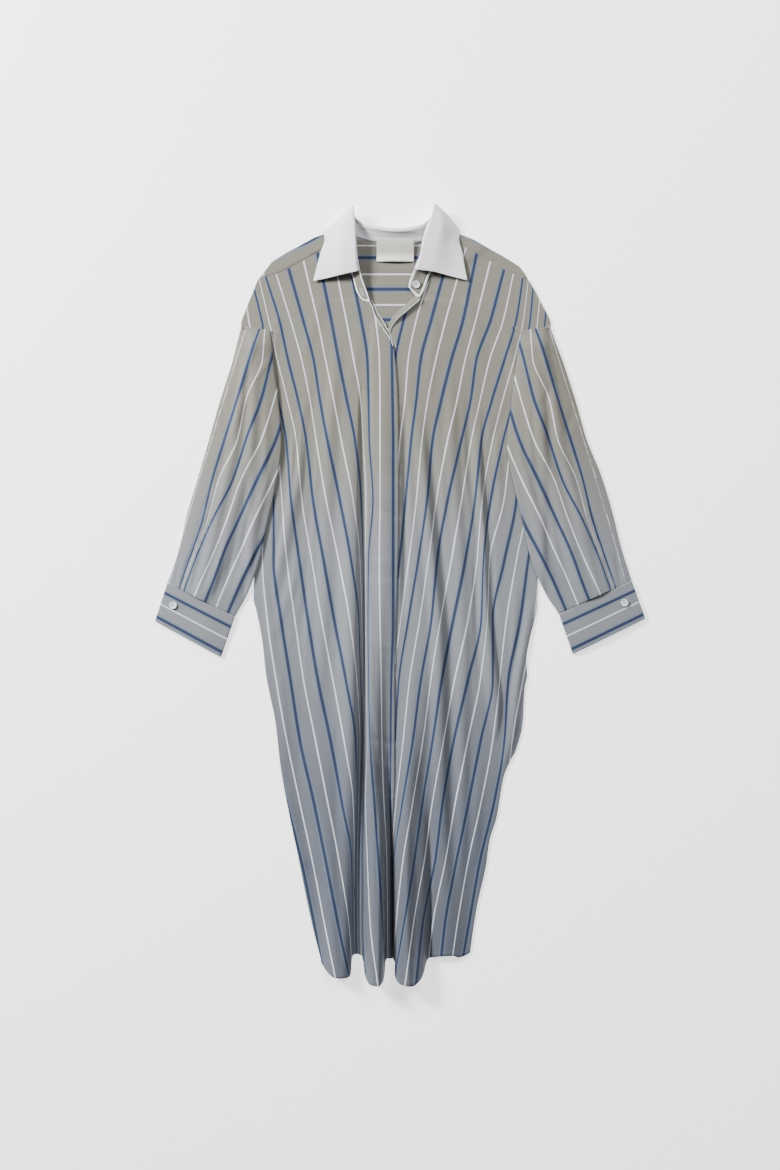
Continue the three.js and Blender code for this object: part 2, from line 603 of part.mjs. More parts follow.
function volume(shape) {
  const p = shape.attributes.position;
  const [a, b, c] = [new THREE.Vector3(), new THREE.Vector3(), new THREE.Vector3()];
  let total = 0;
  for (let i = 0; i < p.count; i += 3) {
    total += a.fromBufferAttribute(p, i).dot(b.fromBufferAttribute(p, i + 1).cross(c.fromBufferAttribute(p, i + 2)));
  }
  return total;
}

// Long soft folds down a sleeve: place across (0 outer, 1 inner), rise, half width, start and end.
const SLEEVE_FOLDS = [
  { across: 0.3, drift: 0.12, rise: 4, half: 0.13, from: 0.12, to: 1.1 },
  { across: 0.62, drift: -0.1, rise: 3.5, half: 0.12, from: 0.2, to: 1.1 },
  { across: 0.82, drift: 0.04, rise: 3, half: 0.1, from: 0.35, to: 1.0 },
];

function sleeveTop(w, along) {
  const puff = SLEEVE_PUFF * Math.sin(Math.PI * w) ** 0.7 * (1 - 0.35 * along);
  let height = EDGE_HEIGHT + puff;
  for (const fold of SLEEVE_FOLDS) {
    const off = (w - fold.across - fold.drift * along) / fold.half;
    const fade = ramp(fold.from, fold.from + 0.25, along) * (1 - ramp(fold.to - 0.2, fold.to, along));
    if (Math.abs(off) < 1) height += fold.rise * fade * 0.5 * (1 + Math.cos(Math.PI * off));
  }
  return height;
}

const sleeve = (rows) => tube({ rows, count: 18, top: sleeveTop, cloth: CLOTH, lift: support });
const cuffTop = (w) => CUFF_THICKNESS + 2.5 * Math.sin(Math.PI * w) ** 0.8;
const cuff = (rows) => tube({ rows, count: 4, top: cuffTop, cloth: CUFF_CLOTH, lift: () => 0 });

// A button with a raised rim, turned about its axis.
function button() {
  const [r, h] = [BUTTON_DIAMETER / 2, BUTTON_THICKNESS];
  const [bevel, rim, slope, dish] = [0.5, 1.4, 2, 0.7];
  const profile = [
    [0, 0], [r - bevel, 0], [r, bevel], [r, h - bevel], [r - bevel, h], [r - rim, h], [r - slope, h - dish],
    [0, h - dish],
  ];
  const lathe = new THREE.LatheGeometry(profile.map(([x, y]) => new THREE.Vector2(x, y)), 16);
  lathe.rotateX(Math.PI / 2);
  return lathe;
}

// Neck label: sewn on along its top edge below the stand, its lower edge lifting a little.
const LABEL = {
  left: -33, right: 26, top: 567, bottom: 531, topHeight: 9.6, bottomHeight: 4.8, lift: 2.2,
};
function neckLabel() {
  const columns = [];
  for (let c = 0; c <= 4; c += 1) {
    const x = mix(LABEL.left, LABEL.right, c / 4);
    columns.push([0, 0.25, 0.5, 0.75, 1].map((t) => {
      const y = mix(LABEL.top, LABEL.bottom, t);
      const bow = LABEL.lift * Math.sin((Math.PI * c) / 4) * t;
      return [x, y, mix(LABEL.topHeight, LABEL.bottomHeight, t ** 0.8) + bow];
    }));
  }
  return new Surface().net(columns).wall(0.4, 0.4);
}

const SHIRTING = { color: 0xa5a4a0, roughness: 0.85, metalness: 0 };
const WHITE_POPLIN = { color: 0xdddbe1, roughness: 0.8, metalness: 0 };
const SATIN = { color: 0xcbc8ba, roughness: 0.45, metalness: 0 };
const BUTTON_PLASTIC = { color: 0xd9dade, roughness: 0.3, metalness: 0 };

const group = new THREE.Group();
group.position.set(-CENTRE.x, -CENTRE.y, 0);

function piece(name, shape, finish, at = [0, 0, 0], tilt = [0, 0, 0]) {
  const mesh = new THREE.Mesh(shape, new THREE.MeshStandardMaterial(finish));
  mesh.name = name;
  mesh.position.set(...at);
  mesh.rotation.set(...tilt);
  group.add(mesh);
}

piece('back_panel', backPanel(), SHIRTING);
piece('yoke', yoke(), SHIRTING);
piece('front_left', leftFront.wall(CLOTH / 2, CLOTH / 2), SHIRTING);
piece('front_right', rightFront.wall(CLOTH / 2, CLOTH / 2), SHIRTING);
piece('placket', rightFront.wall(-CLOTH / 2 - SEAM_GAP, 1.5 * CLOTH + SEAM_GAP, placketFaces()), SHIRTING);
piece('collar_stand', collarStand(), WHITE_POPLIN);
piece('collar_leaf', collarLeaf(), WHITE_POPLIN);
piece('sleeve_right', sleeve(RIGHT_SLEEVE), SHIRTING);
piece('sleeve_left', sleeve(LEFT_SLEEVE), SHIRTING);
piece('cuff_right', cuff(RIGHT_CUFF), SHIRTING);
piece('cuff_left', cuff(LEFT_CUFF), SHIRTING);
piece('cuff_button_right', button(), BUTTON_PLASTIC, [-358, -18, 8.1]);
piece('cuff_button_left', button(), BUTTON_PLASTIC, [362, -14, 8.1]);
piece('collar_button', button(), BUTTON_PLASTIC, [30, 494, 8.7], [0.2, 0.1, 0]);
piece('neck_label', neckLabel(), SATIN);

export default group;
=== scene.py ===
import math

import bpy
import numpy as np
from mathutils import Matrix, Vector


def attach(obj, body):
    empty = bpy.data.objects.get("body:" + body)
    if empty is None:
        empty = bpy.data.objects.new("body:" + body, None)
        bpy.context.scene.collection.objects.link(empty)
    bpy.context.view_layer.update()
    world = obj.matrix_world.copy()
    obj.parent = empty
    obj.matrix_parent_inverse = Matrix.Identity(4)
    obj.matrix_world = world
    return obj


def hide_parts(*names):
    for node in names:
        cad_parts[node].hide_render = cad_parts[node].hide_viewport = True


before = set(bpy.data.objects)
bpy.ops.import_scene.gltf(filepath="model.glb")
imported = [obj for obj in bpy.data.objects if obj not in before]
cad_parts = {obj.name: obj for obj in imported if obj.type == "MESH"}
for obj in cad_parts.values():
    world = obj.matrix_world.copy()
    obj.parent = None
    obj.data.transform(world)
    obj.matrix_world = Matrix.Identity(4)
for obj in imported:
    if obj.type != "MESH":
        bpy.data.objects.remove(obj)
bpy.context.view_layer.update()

# Shirting

# The body, sleeves and cuffs are cut from one yarn-dyed cotton poplin: greige, with blue and
# white stripes along the grain, 22 mm from blue to white. All places are in millimetres in the
# garment's own frame, X across from the placket and Y up to the neck, until a mesh is made.

MM = 0.001
PITCH = 22.0  # from a blue stripe to the next white one
CLOTH = 1.2
SEAM_GAP = 0.3
LAYER = CLOTH + SEAM_GAP
CENTRE = np.array([4.3, -0.7, 0.0])  # middle of the dress's outline in the garment's frame


def pchip(at, values, x):
    """Curve through values at rising places, with no overshoot, straight beyond its ends."""
    at, x = np.asarray(at, float), np.atleast_1d(np.asarray(x, float))
    values = np.asarray(values, float)
    if values.ndim == 1:
        values = np.repeat(values[:, None], len(x), axis=1)
    step = np.diff(at)
    secant = np.diff(values, axis=0) / step[:, None]
    product = secant[:-1] * secant[1:]
    total = np.where(product > 0, secant[:-1] + secant[1:], 1.0)
    inner = np.where(product > 0, 2 * product / total, 0.0)
    slope = np.vstack([secant[:1], inner, secant[-1:]])
    i = np.clip(np.searchsorted(at, x, side="right") - 1, 0, len(at) - 2)
    n = np.arange(len(x))
    t = (x - at[i]) / step[i]
    low, rise = values[i, n], values[i + 1, n] - values[i, n]
    begin, end = slope[i, n] * step[i], slope[i + 1, n] * step[i]
    bend = t * (1 - t) * ((1 - t) * (begin - rise) - t * (end - rise))
    inside = low + rise * t + bend
    return np.where(t < 0, low + begin * t, np.where(t > 1, low + rise + end * (t - 1), inside))


def curve(rows):
    """A curve through [place, value] rows in any order."""
    rows = sorted(rows)
    at, values = [row[0] for row in rows], [row[1] for row in rows]
    return lambda x: pchip(at, values, np.ravel(x)).reshape(np.shape(x))


def mix(a, b, t):
    return a + (b - a) * t


def ramp(start, end, x):
    t = np.clip((x - start) / (end - start), 0, 1)
    return t * t * (3 - 2 * t)


def bump(distance):
    """1 in the middle, falling softly to 0 at a distance of 1."""
    return np.where(np.abs(distance) < 1, 0.5 + 0.5 * np.cos(np.pi * np.clip(distance, -1, 1)), 0.0)


def grid_normals(points, around=False):
    """Unit normals of a grid of points, rows by columns."""
    if around:
        wide = np.concatenate([points[:, -1:], points, points[:, :1]], axis=1)
        across = wide[:, 2:] - wide[:, :-2]
    else:
        across = np.gradient(points, axis=1)
    normal = np.cross(across, np.gradient(points, axis=0))
    return normal / np.maximum(np.linalg.norm(normal, axis=2, keepdims=True), 1e-9)


def rim_of(rows, columns):
    """Grid places round the edge, in order."""
    top = [(0, c) for c in range(columns)]
    right = [(r, columns - 1) for r in range(1, rows)]
    bottom = [(rows - 1, c) for c in range(columns - 2, -1, -1)]
    left = [(r, 0) for r in range(rows - 2, 0, -1)]
    return top + right + bottom + left


def outward(points, r, c):
    """Direction out of the grid at a place on its rim."""
    rows, columns = points.shape[:2]
    total = np.zeros(3)
    if r in (0, rows - 1):
        step = points[r, c] - points[1 if r == 0 else rows - 2, c]
        total += step / max(np.linalg.norm(step), 1e-9)
    if c in (0, columns - 1):
        step = points[r, c] - points[r, 1 if c == 0 else columns - 2]
        total += step / max(np.linalg.norm(step), 1e-9)
    return total / max(np.linalg.norm(total), 1e-9)


class Shell:
    """Closed walls of cloth, made from grids of middle points, with their UVs in metres."""

    def __init__(self):
        self.vertices, self.faces, self.uvs, self.count = [], [], [], 0

    def _add(self, points, uvs):
        start = self.count
        self.vertices.append(np.reshape(points, (-1, 3)))
        self.uvs.append(np.reshape(uvs, (-1, 2)))
        self.count += len(self.vertices[-1])
        return start

    def sheet(self, points, uvs, thickness=CLOTH, normals=None):
        """A wall whose rim is rounded. Columns run across, rows run down, seen from its face."""
        rows, columns = points.shape[:2]
        normals = grid_normals(points) if normals is None else normals
        half = np.broadcast_to(np.asarray(thickness, float) / 2, (rows, columns))[..., None]
        face = self._add(points + normals * half, uvs)
        back = self._add(points - normals * half, uvs)
        rim = rim_of(rows, columns)
        edge = [points[r, c] + outward(points, r, c) * half[r, c] * 0.8 for r, c in rim]
        turn = self._add(np.array(edge), np.array([uvs[r, c] for r, c in rim]))
        number = np.arange(rows * columns).reshape(rows, columns)
        a, b = number[:-1, :-1].ravel(), number[:-1, 1:].ravel()
        c, d = number[1:, 1:].ravel(), number[1:, :-1].ravel()
        self.faces += [np.stack([d, c, b, a], 1) + face, np.stack([a, b, c, d], 1) + back]
        ring = np.array([number[place] for place in rim])
        after, count = np.roll(ring, -1), len(rim)
        mid, mid_after = np.arange(count) + turn, (np.arange(count) + 1) % count + turn
        self.faces.append(np.stack([ring + face, after + face, mid_after, mid], 1))
        self.faces.append(np.stack([mid, mid_after, after + back, ring + back], 1))
        return self

    def tube(self, points, uvs, thickness):
        """A wall all round, open at its two ends. Rows run along it, columns round it."""
        rows, columns = points.shape[:2]
        normals = grid_normals(points, around=True)
        face = self._add(points + normals * thickness / 2, uvs)
        back = self._add(points - normals * thickness / 2, uvs)
        number = np.arange(rows * columns).reshape(rows, columns)
        beside = np.roll(number, -1, axis=1)
        a, b = number[:-1].ravel(), beside[:-1].ravel()
        c, d = beside[1:].ravel(), number[1:].ravel()
        self.faces += [np.stack([d, c, b, a], 1) + face, np.stack([a, b, c, d], 1) + back]
        for row, flip in ((0, 1), (rows - 1, -1)):
            here, after = number[row], beside[row]
            self.faces.append(np.stack([here + face, after + face, after + back, here + back], 1)[:, ::flip])
        return self

    def mesh(self, name, material):
        """The finished object, in metres, in the frame of the CAD model."""
        vertices = (np.vstack(self.vertices) - CENTRE) * MM
        uvs, faces = np.vstack(self.uvs), np.vstack(self.faces)
        mesh = bpy.data.meshes.new(name)
        mesh.from_pydata(vertices.tolist(), [], faces.tolist())
        layer = mesh.uv_layers.new(name="grain")
        loops = np.empty(len(mesh.loops), dtype=np.int32)
        mesh.loops.foreach_get("vertex_index", loops)
        layer.data.foreach_set("uv", uvs[loops].astype(np.float32).ravel())
        mesh.polygons.foreach_set("use_smooth", np.ones(len(mesh.polygons), dtype=bool))
        mesh.materials.append(material)
        made = bpy.data.objects.new(name, mesh)
        bpy.context.scene.collection.objects.link(made)
        return made


def stands_for(piece, node):
    """The piece takes a CAD node's place, and that node's part is hidden."""
    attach(piece, "root")
    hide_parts(node)


def belongs(piece):
    """A piece that stands for no node."""
    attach(piece, "root")
    return piece


class Value:
    """A shader socket that takes part in sums as a number does."""

    def __init__(self, shader, socket):
        self.shader, self.socket = shader, socket

    def _maths(self, kind, *others):
        return self.shader.node("ShaderNodeMath", dict(enumerate((self, *others))), operation=kind)

    def __add__(self, other):
        return self._maths("ADD", other)

    def __sub__(self, other):
        return self._maths("SUBTRACT", other)

    def __mul__(self, other):
        return self._maths("MULTIPLY", other)

    def __truediv__(self, other):
        return self._maths("DIVIDE", other)

    def fraction(self):
        return self._maths("FRACT")

    def absolute(self):
        return self._maths("ABSOLUTE")

    def sine(self):
        return self._maths("SINE")

    def between(self, start, end):
        """0 before start and 1 after end, softly."""
        return self.shader.node(
            "ShaderNodeMapRange",
            {"Value": self, "From Min": start, "From Max": end},
            interpolation_type="SMOOTHSTEP",
        )


class Shader:
    """A material and its nodes."""

    def __init__(self, name, **constants):
        self.material = bpy.data.materials.new(name)
        self.material.use_nodes = True
        self.tree = self.material.node_tree
        self.surface = self.tree.nodes["Principled BSDF"]
        for socket, value in constants.items():
            self.surface.inputs[socket.replace("_", " ")].default_value = value

    def node(self, kind, values=None, output=0, **settings):
        """A node with its settings, and a number, colour or link for each named input."""
        made = self.tree.nodes.new(kind)
        for name, setting in settings.items():
            setattr(made, name, setting)
        for name, value in (values or {}).items():
            self.feed(made.inputs[name], value)
        return Value(self, made.outputs[output])

    def feed(self, socket, value):
        if isinstance(value, Value):
            self.tree.links.new(value.socket, socket)
        else:
            socket.default_value = value

    def set(self, socket, value):
        self.feed(self.surface.inputs[socket], value)

    def split(self, vector):
        """The three parts of a vector."""
        made = self.node("ShaderNodeSeparateXYZ", {"Vector": vector})
        return [Value(self, socket) for socket in made.socket.node.outputs]

    def grain(self):
        """Place across and along the cloth, in metres."""
        across, along, _ = self.split(self.node("ShaderNodeUVMap", uv_map="grain"))
        return across, along

    def place(self):
        return self.split(self.node("ShaderNodeTexCoord", output=3))

    def noise(self, scale, detail=3.0, stretch=(1.0, 1.0, 1.0)):
        position = self.node("ShaderNodeTexCoord", output=3)
        scaled = self.node("ShaderNodeVectorMath", {0: position, 1: stretch}, operation="MULTIPLY")
        return self.node("ShaderNodeTexNoise", {"Vector": scaled, "Scale": scale, "Detail": detail})

    def mix(self, factor, first, second, kind="MIX"):
        values = {0: factor, 6: first, 7: second}
        return self.node("ShaderNodeMix", values, output=2, data_type="RGBA", blend_type=kind)

    def weave(self, across, along):
        """Height of a plain weave."""
        return (across * (math.tau / THREAD)).sine() * (along * (math.tau / THREAD)).sine()

    def bump(self, height, distance, strength=1.0):
        made = self.node("ShaderNodeBump", {"Height": height, "Distance": distance, "Strength": strength})
        self.set("Normal", made)


def srgb(red, green, blue):
    """A colour from 0 to 255 in each part, as the shader takes it."""
    parts = [v / 255 for v in (red, green, blue)]
    return tuple(v / 12.92 if v <= 0.04045 else ((v + 0.055) / 1.055) ** 2.4 for v in parts) + (1.0,)


# GREIGE is the cloth's own colour; the waist and low greiges are painted light and painted shade: lighter and
# bluer at the waist, darker and cooler towards the hem.
GREIGE = srgb(114, 111, 101)
PAINTED_LIGHT_WAIST_GREIGE = srgb(118, 121, 127)
PAINTED_SHADE_LOW_GREIGE = srgb(84, 89, 101)
BLUE = srgb(28, 42, 70)
PALE_BLUE = srgb(92, 108, 130)
WHITE_STRIPE = srgb(226, 230, 240)
BLUE_HALF = 2.4 * MM  # of the blue stripe's dark middle
PALE_HALF = 5.2 * MM  # of its pale flanks
WHITE_HALF = 0.98 * MM
THREAD = 0.4 * MM  # spacing of the yarns


def shirting_material():
    """Yarn-dyed poplin: matt, with stripes along the grain, a fine plain weave, and painted light and shade
    that change its ground from the waist to the hem.
    """
    shader = Shader("shirting", Roughness=0.82)
    across, along = shader.grain()
    _, up, _ = shader.place()
    repeat = across / (2 * PITCH * MM)
    from_blue = ((repeat + 0.5).fraction() - 0.5).absolute() * (2 * PITCH * MM)
    from_white = (repeat.fraction() - 0.5).absolute() * (2 * PITCH * MM)
    soft = 0.6 * MM
    # Painted light and shade by height: the ground turns lighter and bluer at the waist and darker and cooler
    # towards the hem.
    ground = shader.mix(up.between(0.3, 0.02), GREIGE, PAINTED_LIGHT_WAIST_GREIGE)
    ground = shader.mix(up.between(0.0, -0.42), ground, PAINTED_SHADE_LOW_GREIGE)
    cloud = shader.noise(scale=9.0)
    ground = shader.mix(cloud.between(0.35, 0.7) * 0.06, ground, srgb(150, 150, 150))
    pale = shader.mix(from_blue.between(PALE_HALF + soft, PALE_HALF - soft) * 0.6, ground, PALE_BLUE)
    blue = shader.mix(from_blue.between(BLUE_HALF + soft, BLUE_HALF - soft), pale, BLUE)
    in_white = from_white.between(WHITE_HALF + soft, WHITE_HALF - soft) * 0.85
    shader.set("Base Color", shader.mix(in_white, blue, WHITE_STRIPE))
    weave = shader.weave(across, along)
    slub = shader.noise(scale=420.0, detail=2.0, stretch=(1.0, 0.25, 1.0))
    shader.bump(weave * 0.5 + slub, distance=0.06 * MM, strength=0.6)
    shader.set("Sheen Weight", 0.15)
    return shader.material


SHIRTING = shirting_material()

# Fronts

# Two half fronts of shirting with a shirt-tail hem. The wearer's right one, on the viewer's left,
# laps over the other. They are joined to the yoke, the side seams and the sleeves by flat seams.

# Sections across the body: a height, and the places of stripes 0 to 15 counted from the front
# edge to the side, blue and white in turn. Stripes that lie close together go down into a fold.
RIGHT_SECTIONS = {
    502: [-23, -47, -71, -95, -119, -143, -169, -191, -209, -221, -233, -244, -255, -267, -278, -289],
    438: [-10, -35, -58, -82, -106, -128, -151, -171, -189, -206, -217, -238, -258, -270, -281, -293],
    374: [-9, -29, -48, -70, -94, -115, -134, -153, -175, -192, -204, -216, -228, -239, -250, -261],
    310: [-8, -28, -46, -59, -81, -102, -124, -140, -159, -176, -191, -205, -217, -228, -239, -250],
    246: [-7, -28, -45, -55, -68, -90, -112, -130, -146, -162, -178, -192, -207, -219, -230, -241],
    150: [-7, -28, -39, -50, -58, -71, -92, -114, -135, -153, -170, -185, -198, -212, -226, -240],
    54: [-7, -29, -46.5, -51, -55, -60, -74, -94, -118, -137, -157, -177, -198, -216, -233, -250],
    -42: [-7, -28, -47, -50.5, -53.5, -57, -62, -76, -101, -121, -143, -164, -186, -208, -230, -251],
    -138: [-10, -26, -46, -49.5, -52.5, -55.5, -59, -65, -82, -103, -127, -150, -171, -194, -215, -236],
    -234: [-11, -25, -44, -48, -50.5, -53, -56, -60, -67, -85, -107, -131, -156, -177, -199, -221],
    -330: [-11, -22, -37, -50.5, -54, -57, -59.5, -62, -65, -71, -89, -112, -134, -157, -178, -199],
    -426: [-11, -17, -30, -47.5, -56, -59, -61.5, -64, -66.5, -69, -73, -93, -114, -136, -154, -175],
    -522: [-11, -16, -24, -43, -56, -59, -61.5, -64, -66.5, -69, -72, -78, -95, -117, -134, -152],
    -618: [-11, -15, -19, -31, -50, -57, -60, -62, -64, -66, -68.5, -71, -75, -97, -116, -134],
}
LEFT_SECTIONS = {
    502: [30, 50, 71, 95, 118, 141, 166, 183, 200, 209, 218, 230, 241, 252, 263, 274],
    438: [10, 30, 54, 77, 105, 125, 149, 169, 190, 201, 212, 224, 236, 247, 258, 269],
    374: [-4, 17, 37, 61, 86, 108, 126, 147, 171, 186, 202, 215, 228, 239, 250, 261],
    310: [-10, 12, 30, 48, 70, 95, 117, 132, 151, 168, 186, 200, 214, 226, 238, 250],
    246: [-18, 4, 22, 39, 56, 80, 102, 118, 134, 152, 169, 182, 196, 212, 228, 240],
    150: [-22, -3, 13, 30, 47, 62, 80, 102, 124, 135, 149, 170, 190, 208, 225, 240],
    54: [-26, -11, 3, 18, 33, 49, 63, 86, 108, 127, 137, 147, 171, 190, 209, 228],
    -42: [-34, -21, -7, 5, 17, 35, 54, 68, 89, 112, 134, 143, 152, 174, 196, 219],
    -138: [-41, -28, -15, -7, 2, 19, 37, 53, 70, 91, 112, 132, 152, 163, 177, 200],
    -234: [-44, -32, -19, -12, -4, 9, 24, 40, 56, 73, 90, 112, 133, 152, 171, 183],
    -330: [-31, -25, -18, -14, -10, -2, 8, 24, 40, 56, 72, 93, 114, 134, 155, 173],
    -426: [-25, -22, -20, -17, -14, -10, -6, 8, 26, 42, 60, 76, 94, 113, 132, 151],
    -522: [-24, -22, -21, -19, -17, -15, -12, -2, 10, 25, 40, 57, 76, 96, 115, 134],
    -618: [-23, -21, -20, -18, -17, -15, -14, -10, -6, 12, 29, 47, 66, 82, 98, 114],
}

ARMHOLE_TOP = 428  # where a sleeve is set on at the outer shoulder
ARMHOLE_STEP = 423  # and where the front's edge has turned in under it

# Edges as [y, x] rows, from the neck down.
RIGHT_FRONT_EDGE = [
    [567, -84], [531, -81], [493, -68], [472, -57], [464, -43], [446, -36], [421, -21], [402, -9],
    [374, -4], [310, 0], [246, 1], [150, 1], [54, 0], [-138, -5], [-293, -5], [-338, -7],
    [-426, -10], [-625, -10],
]
RIGHT_SIDE_EDGE = [
    [567, -150], [504, -222], [482, -231], [456, -242], [ARMHOLE_TOP, -250], [ARMHOLE_STEP, -227],
    [310, -226], [21, -229], [-8, -230], [-24, -226], [-76, -216], [-130, -210], [-206, -195], [-275, -187],
    [-357, -172], [-419, -159], [-485, -146], [-539, -134], [-582, -123], [-625, -114],
]
LEFT_FRONT_EDGE = [
    [567, 82], [531, 77], [509, 56], [486, 42], [469, 34], [453, 14], [439, -3], [427, -13], [414, -26],
    [402, -36], [374, -38], [-138, -38], [-234, -28], [-330, -18], [-426, -16], [-522, -15], [-625, -14],
]
LEFT_SIDE_EDGE = [
    [567, 150], [502, 209], [466, 229], [ARMHOLE_TOP, 245], [ARMHOLE_STEP, 227], [310, 227], [26, 224],
    [-19, 223], [-73, 211], [-104, 206], [-130, 207], [-150, 203], [-205, 200], [-250, 189], [-267, 180],
    [-291, 170], [-358, 158], [-394, 147], [-436, 141], [-494, 128], [-550, 119], [-625, 110],
]

# The forward shoulder seam, as [x, y] rows from the neck out, and the hem, as [stripe, y] rows.
RIGHT_SHOULDER_SEAM = [[-84, 567], [-124, 548], [-150, 533], [-171, 522], [-194, 511], [-216, 507]]
LEFT_SHOULDER_SEAM = [[84, 567], [124, 546], [150, 531], [171, 519], [194, 508], [207, 503]]
RIGHT_HEM = [
    [-1, -582], [1.5, -582], [1.8, -586], [2.1, -604], [2.5, -615], [3, -619], [3.6, -619], [3.9, -613],
    [4.15, -602], [4.4, -586], [4.8, -577], [7.8, -575], [10.6, -577], [11.1, -586], [11.5, -603],
    [12, -609], [12.6, -610.5], [13.2, -609], [13.7, -600], [14.2, -582],
]
LEFT_HEM = [
    [-4, -582], [7, -582], [7.6, -586], [7.9, -602], [8.2, -611], [8.7, -619], [9.7, -620.5], [10.2, -615],
    [10.55, -606], [10.8, -586], [11.1, -580.5], [12, -577.5], [13, -577], [13.6, -580], [14.2, -577],
    [14.6, -572], [15, -563], [16, -550],
]

# Folds of the fronts as ridges of cloth: rows of y, x, rise and half width along each crest.
RIDGES = {
    "body fullness": [
        [470, 0, 2, 190], [300, 0, 6, 200], [0, 0, 8, 200], [-300, 0, 8, 160], [-640, -2, 7, 116],
    ],
    "placket stand": [
        [400, -22, 0, 20], [250, -22, 3, 22], [0, -23, 4, 24], [-160, -30, 4, 24],
        [-300, -34, 0, 22],
    ],
    "right centre fold": [
        [60, -34, 0, 22], [-138, -40, 8, 24], [-234, -41, 14, 24], [-330, -38, 20, 23],
        [-426, -36, 26, 23], [-522, -36, 29, 22], [-640, -36, 30, 22],
    ],
    "right outer fold": [[-200, -130, 0, 44], [-330, -118, 7, 44], [-450, -106, 14, 38], [-640, -94, 20, 27]],
    "right hollow": [
        [330, -57, 0, 9], [250, -56, -3, 9], [54, -56, -5, 10], [-138, -60, -4, 11], [-260, -61, -2, 11],
        [-330, -61, 0, 11],
    ],
    "left centre fold": [
        [-60, 30, 0, 26], [-200, 24, 6, 28], [-330, 16, 14, 27], [-450, 14, 22, 25],
        [-640, 18, 27, 27],
    ],
    "left hollow": [[320, 13, 0, 9], [250, 12, -3, 9], [54, 12, -4, 9], [-60, 8, 0, 9]],
    "left long crease": [
        [300, 28, 0, 16], [222, 38, 4, 17], [78, 52, 6, 18], [-66, 65, 6, 18], [-300, 68, 5, 18],
        [-420, 72, 3, 18], [-520, 78, 0, 18],
    ],
    "left side crease": [
        [260, 126, 0, 16], [190, 129, 4, 18], [-26, 140, 6, 18], [-154, 154, 6, 18],
        [-260, 168, 0, 14],
    ],
    "left hem fullness": [[-330, 90, 0, 40], [-480, 82, 5, 40], [-640, 74, 7, 36]],
    "right underarm crease": [[270, -158, 0, 14], [198, -161, 5, 16], [90, -180, 5, 18], [-10, -200, 0, 14]],
}


# Finer folds on them, in the same columns: lips that close the deep valleys, and soft waves.
WAVES = {
    "right valley's lip": [
        [330, -44, 0, 7], [200, -45, 2, 8], [60, -45, 3, 8], [-42, -45, 3.5, 9], [-138, -45, 3, 9],
        [-330, -46, 1.5, 9], [-640, -46, 0, 9],
    ],
    "right valley's bank": [
        [300, -74, 0, 18], [150, -76, 4, 22], [-42, -76, 7, 24], [-234, -76, 8, 24],
        [-400, -80, 6, 20], [-640, -80, 4, 14],
    ],
    "placket's inner hollow": [[380, -45, 0, 6], [300, -44, -1.2, 7], [54, -43, -1.4, 7], [-138, -44, 0, 6]],
    "right centre fold's shoulder": [[-280, -25, 0, 9], [-400, -26, 5, 9], [-640, -27, 8, 10]],
    "left centre fold's shoulder": [[-300, 36, 0, 16], [-430, 37, 7, 16], [-640, 36, 10, 15]],
    "centre valley's bank": [[-330, 2, 0, 12], [-450, 0, 4, 12], [-640, 0, 5, 12]],
    "hollow beside the placket": [
        [410, 4, 0, 8], [340, 9, -0.7, 9], [200, 12, -1, 9], [60, 12, -0.7, 9], [-60, 10, 0, 8],
    ],
    "left first wave": [
        [300, 50, 0, 14], [200, 56, -2.2, 14], [60, 70, -2.6, 15], [-100, 84, -2.4, 15],
        [-330, 88, -2, 15], [-500, 92, 0, 12],
    ],
    "left second wave": [
        [360, 84, 0, 14], [240, 88, 2.2, 15], [60, 98, 2.6, 15], [-120, 106, 2.4, 15],
        [-330, 104, 1.6, 14], [-480, 100, 0, 12],
    ],
    "left third wave": [
        [330, 112, 0, 10], [220, 116, -2.4, 11], [80, 128, -3, 11], [-60, 128, -2, 11], [-160, 132, 0, 10],
    ],
    "left long fold's edge": [
        [300, 138, 0, 8], [200, 140, -3.4, 9], [100, 147, -3.8, 9], [0, 150, -3.4, 9],
        [-100, 162, -3, 9], [-190, 174, 0, 8],
    ],
    "left step near the hem": [[-330, 50, 0, 8], [-440, 50, -2, 9], [-560, 49, -5, 9], [-640, 48, -7, 9]],
    "right first wave": [
        [420, -96, 0, 14], [300, -104, 1.8, 16], [120, -114, 2.2, 16], [-60, -120, 2, 16],
        [-220, -128, 0, 14],
    ],
    "right second wave": [
        [380, -130, 0, 12], [240, -138, -1.6, 14], [60, -150, -2.2, 14], [-120, -160, -2, 14],
        [-300, -160, 0, 12],
    ],
    "right side wave": [
        [210, -178, 0, 12], [120, -190, -3, 13], [20, -206, -3, 12], [-60, -214, -1.5, 10],
        [-140, -212, 0, 10],
    ],
    "right underarm pleat": [
        [300, -158, 0, 6], [262, -161, -2.6, 7], [215, -163, -3.4, 7], [160, -166, 0, 6],
    ],
    "left underarm pleat": [[300, 172, 0, 7], [268, 162, -2.6, 8], [240, 150, -3.2, 8], [200, 146, 0, 7]],
    "left side bulge": [
        [0, 214, 0, 10], [-60, 206, 3, 12], [-140, 192, 4, 12], [-220, 184, 3.4, 12], [-290, 166, 0, 10],
    ],
    "left side hollow": [[-60, 190, 0, 8], [-140, 176, -2.6, 9], [-230, 164, -2.6, 9], [-330, 146, 0, 8]],
}


# The two deepest folds, whose walls stand nearly upright: rows of y, both edges' x, and depth.
TROUGHS = {
    "right valley": [
        [330, -60, -54, 1.5], [200, -62, -53.5, 5], [54, -63, -52.5, 9], [-42, -63, -51.5, 14],
        [-138, -62.5, -51, 19], [-234, -63, -51, 22], [-330, -65, -53, 26], [-450, -68, -54, 30],
        [-640, -70, -54, 34],
    ],
    "centre valley": [[-230, -15, -12, 0], [-330, -19, -10, 7], [-450, -21, -8, 24], [-640, -21, -7, 34]],
}
STEEP = 2.2  # half the width of a trough's wall, seen from above
FULLNESS = 1.3  # of the finer folds


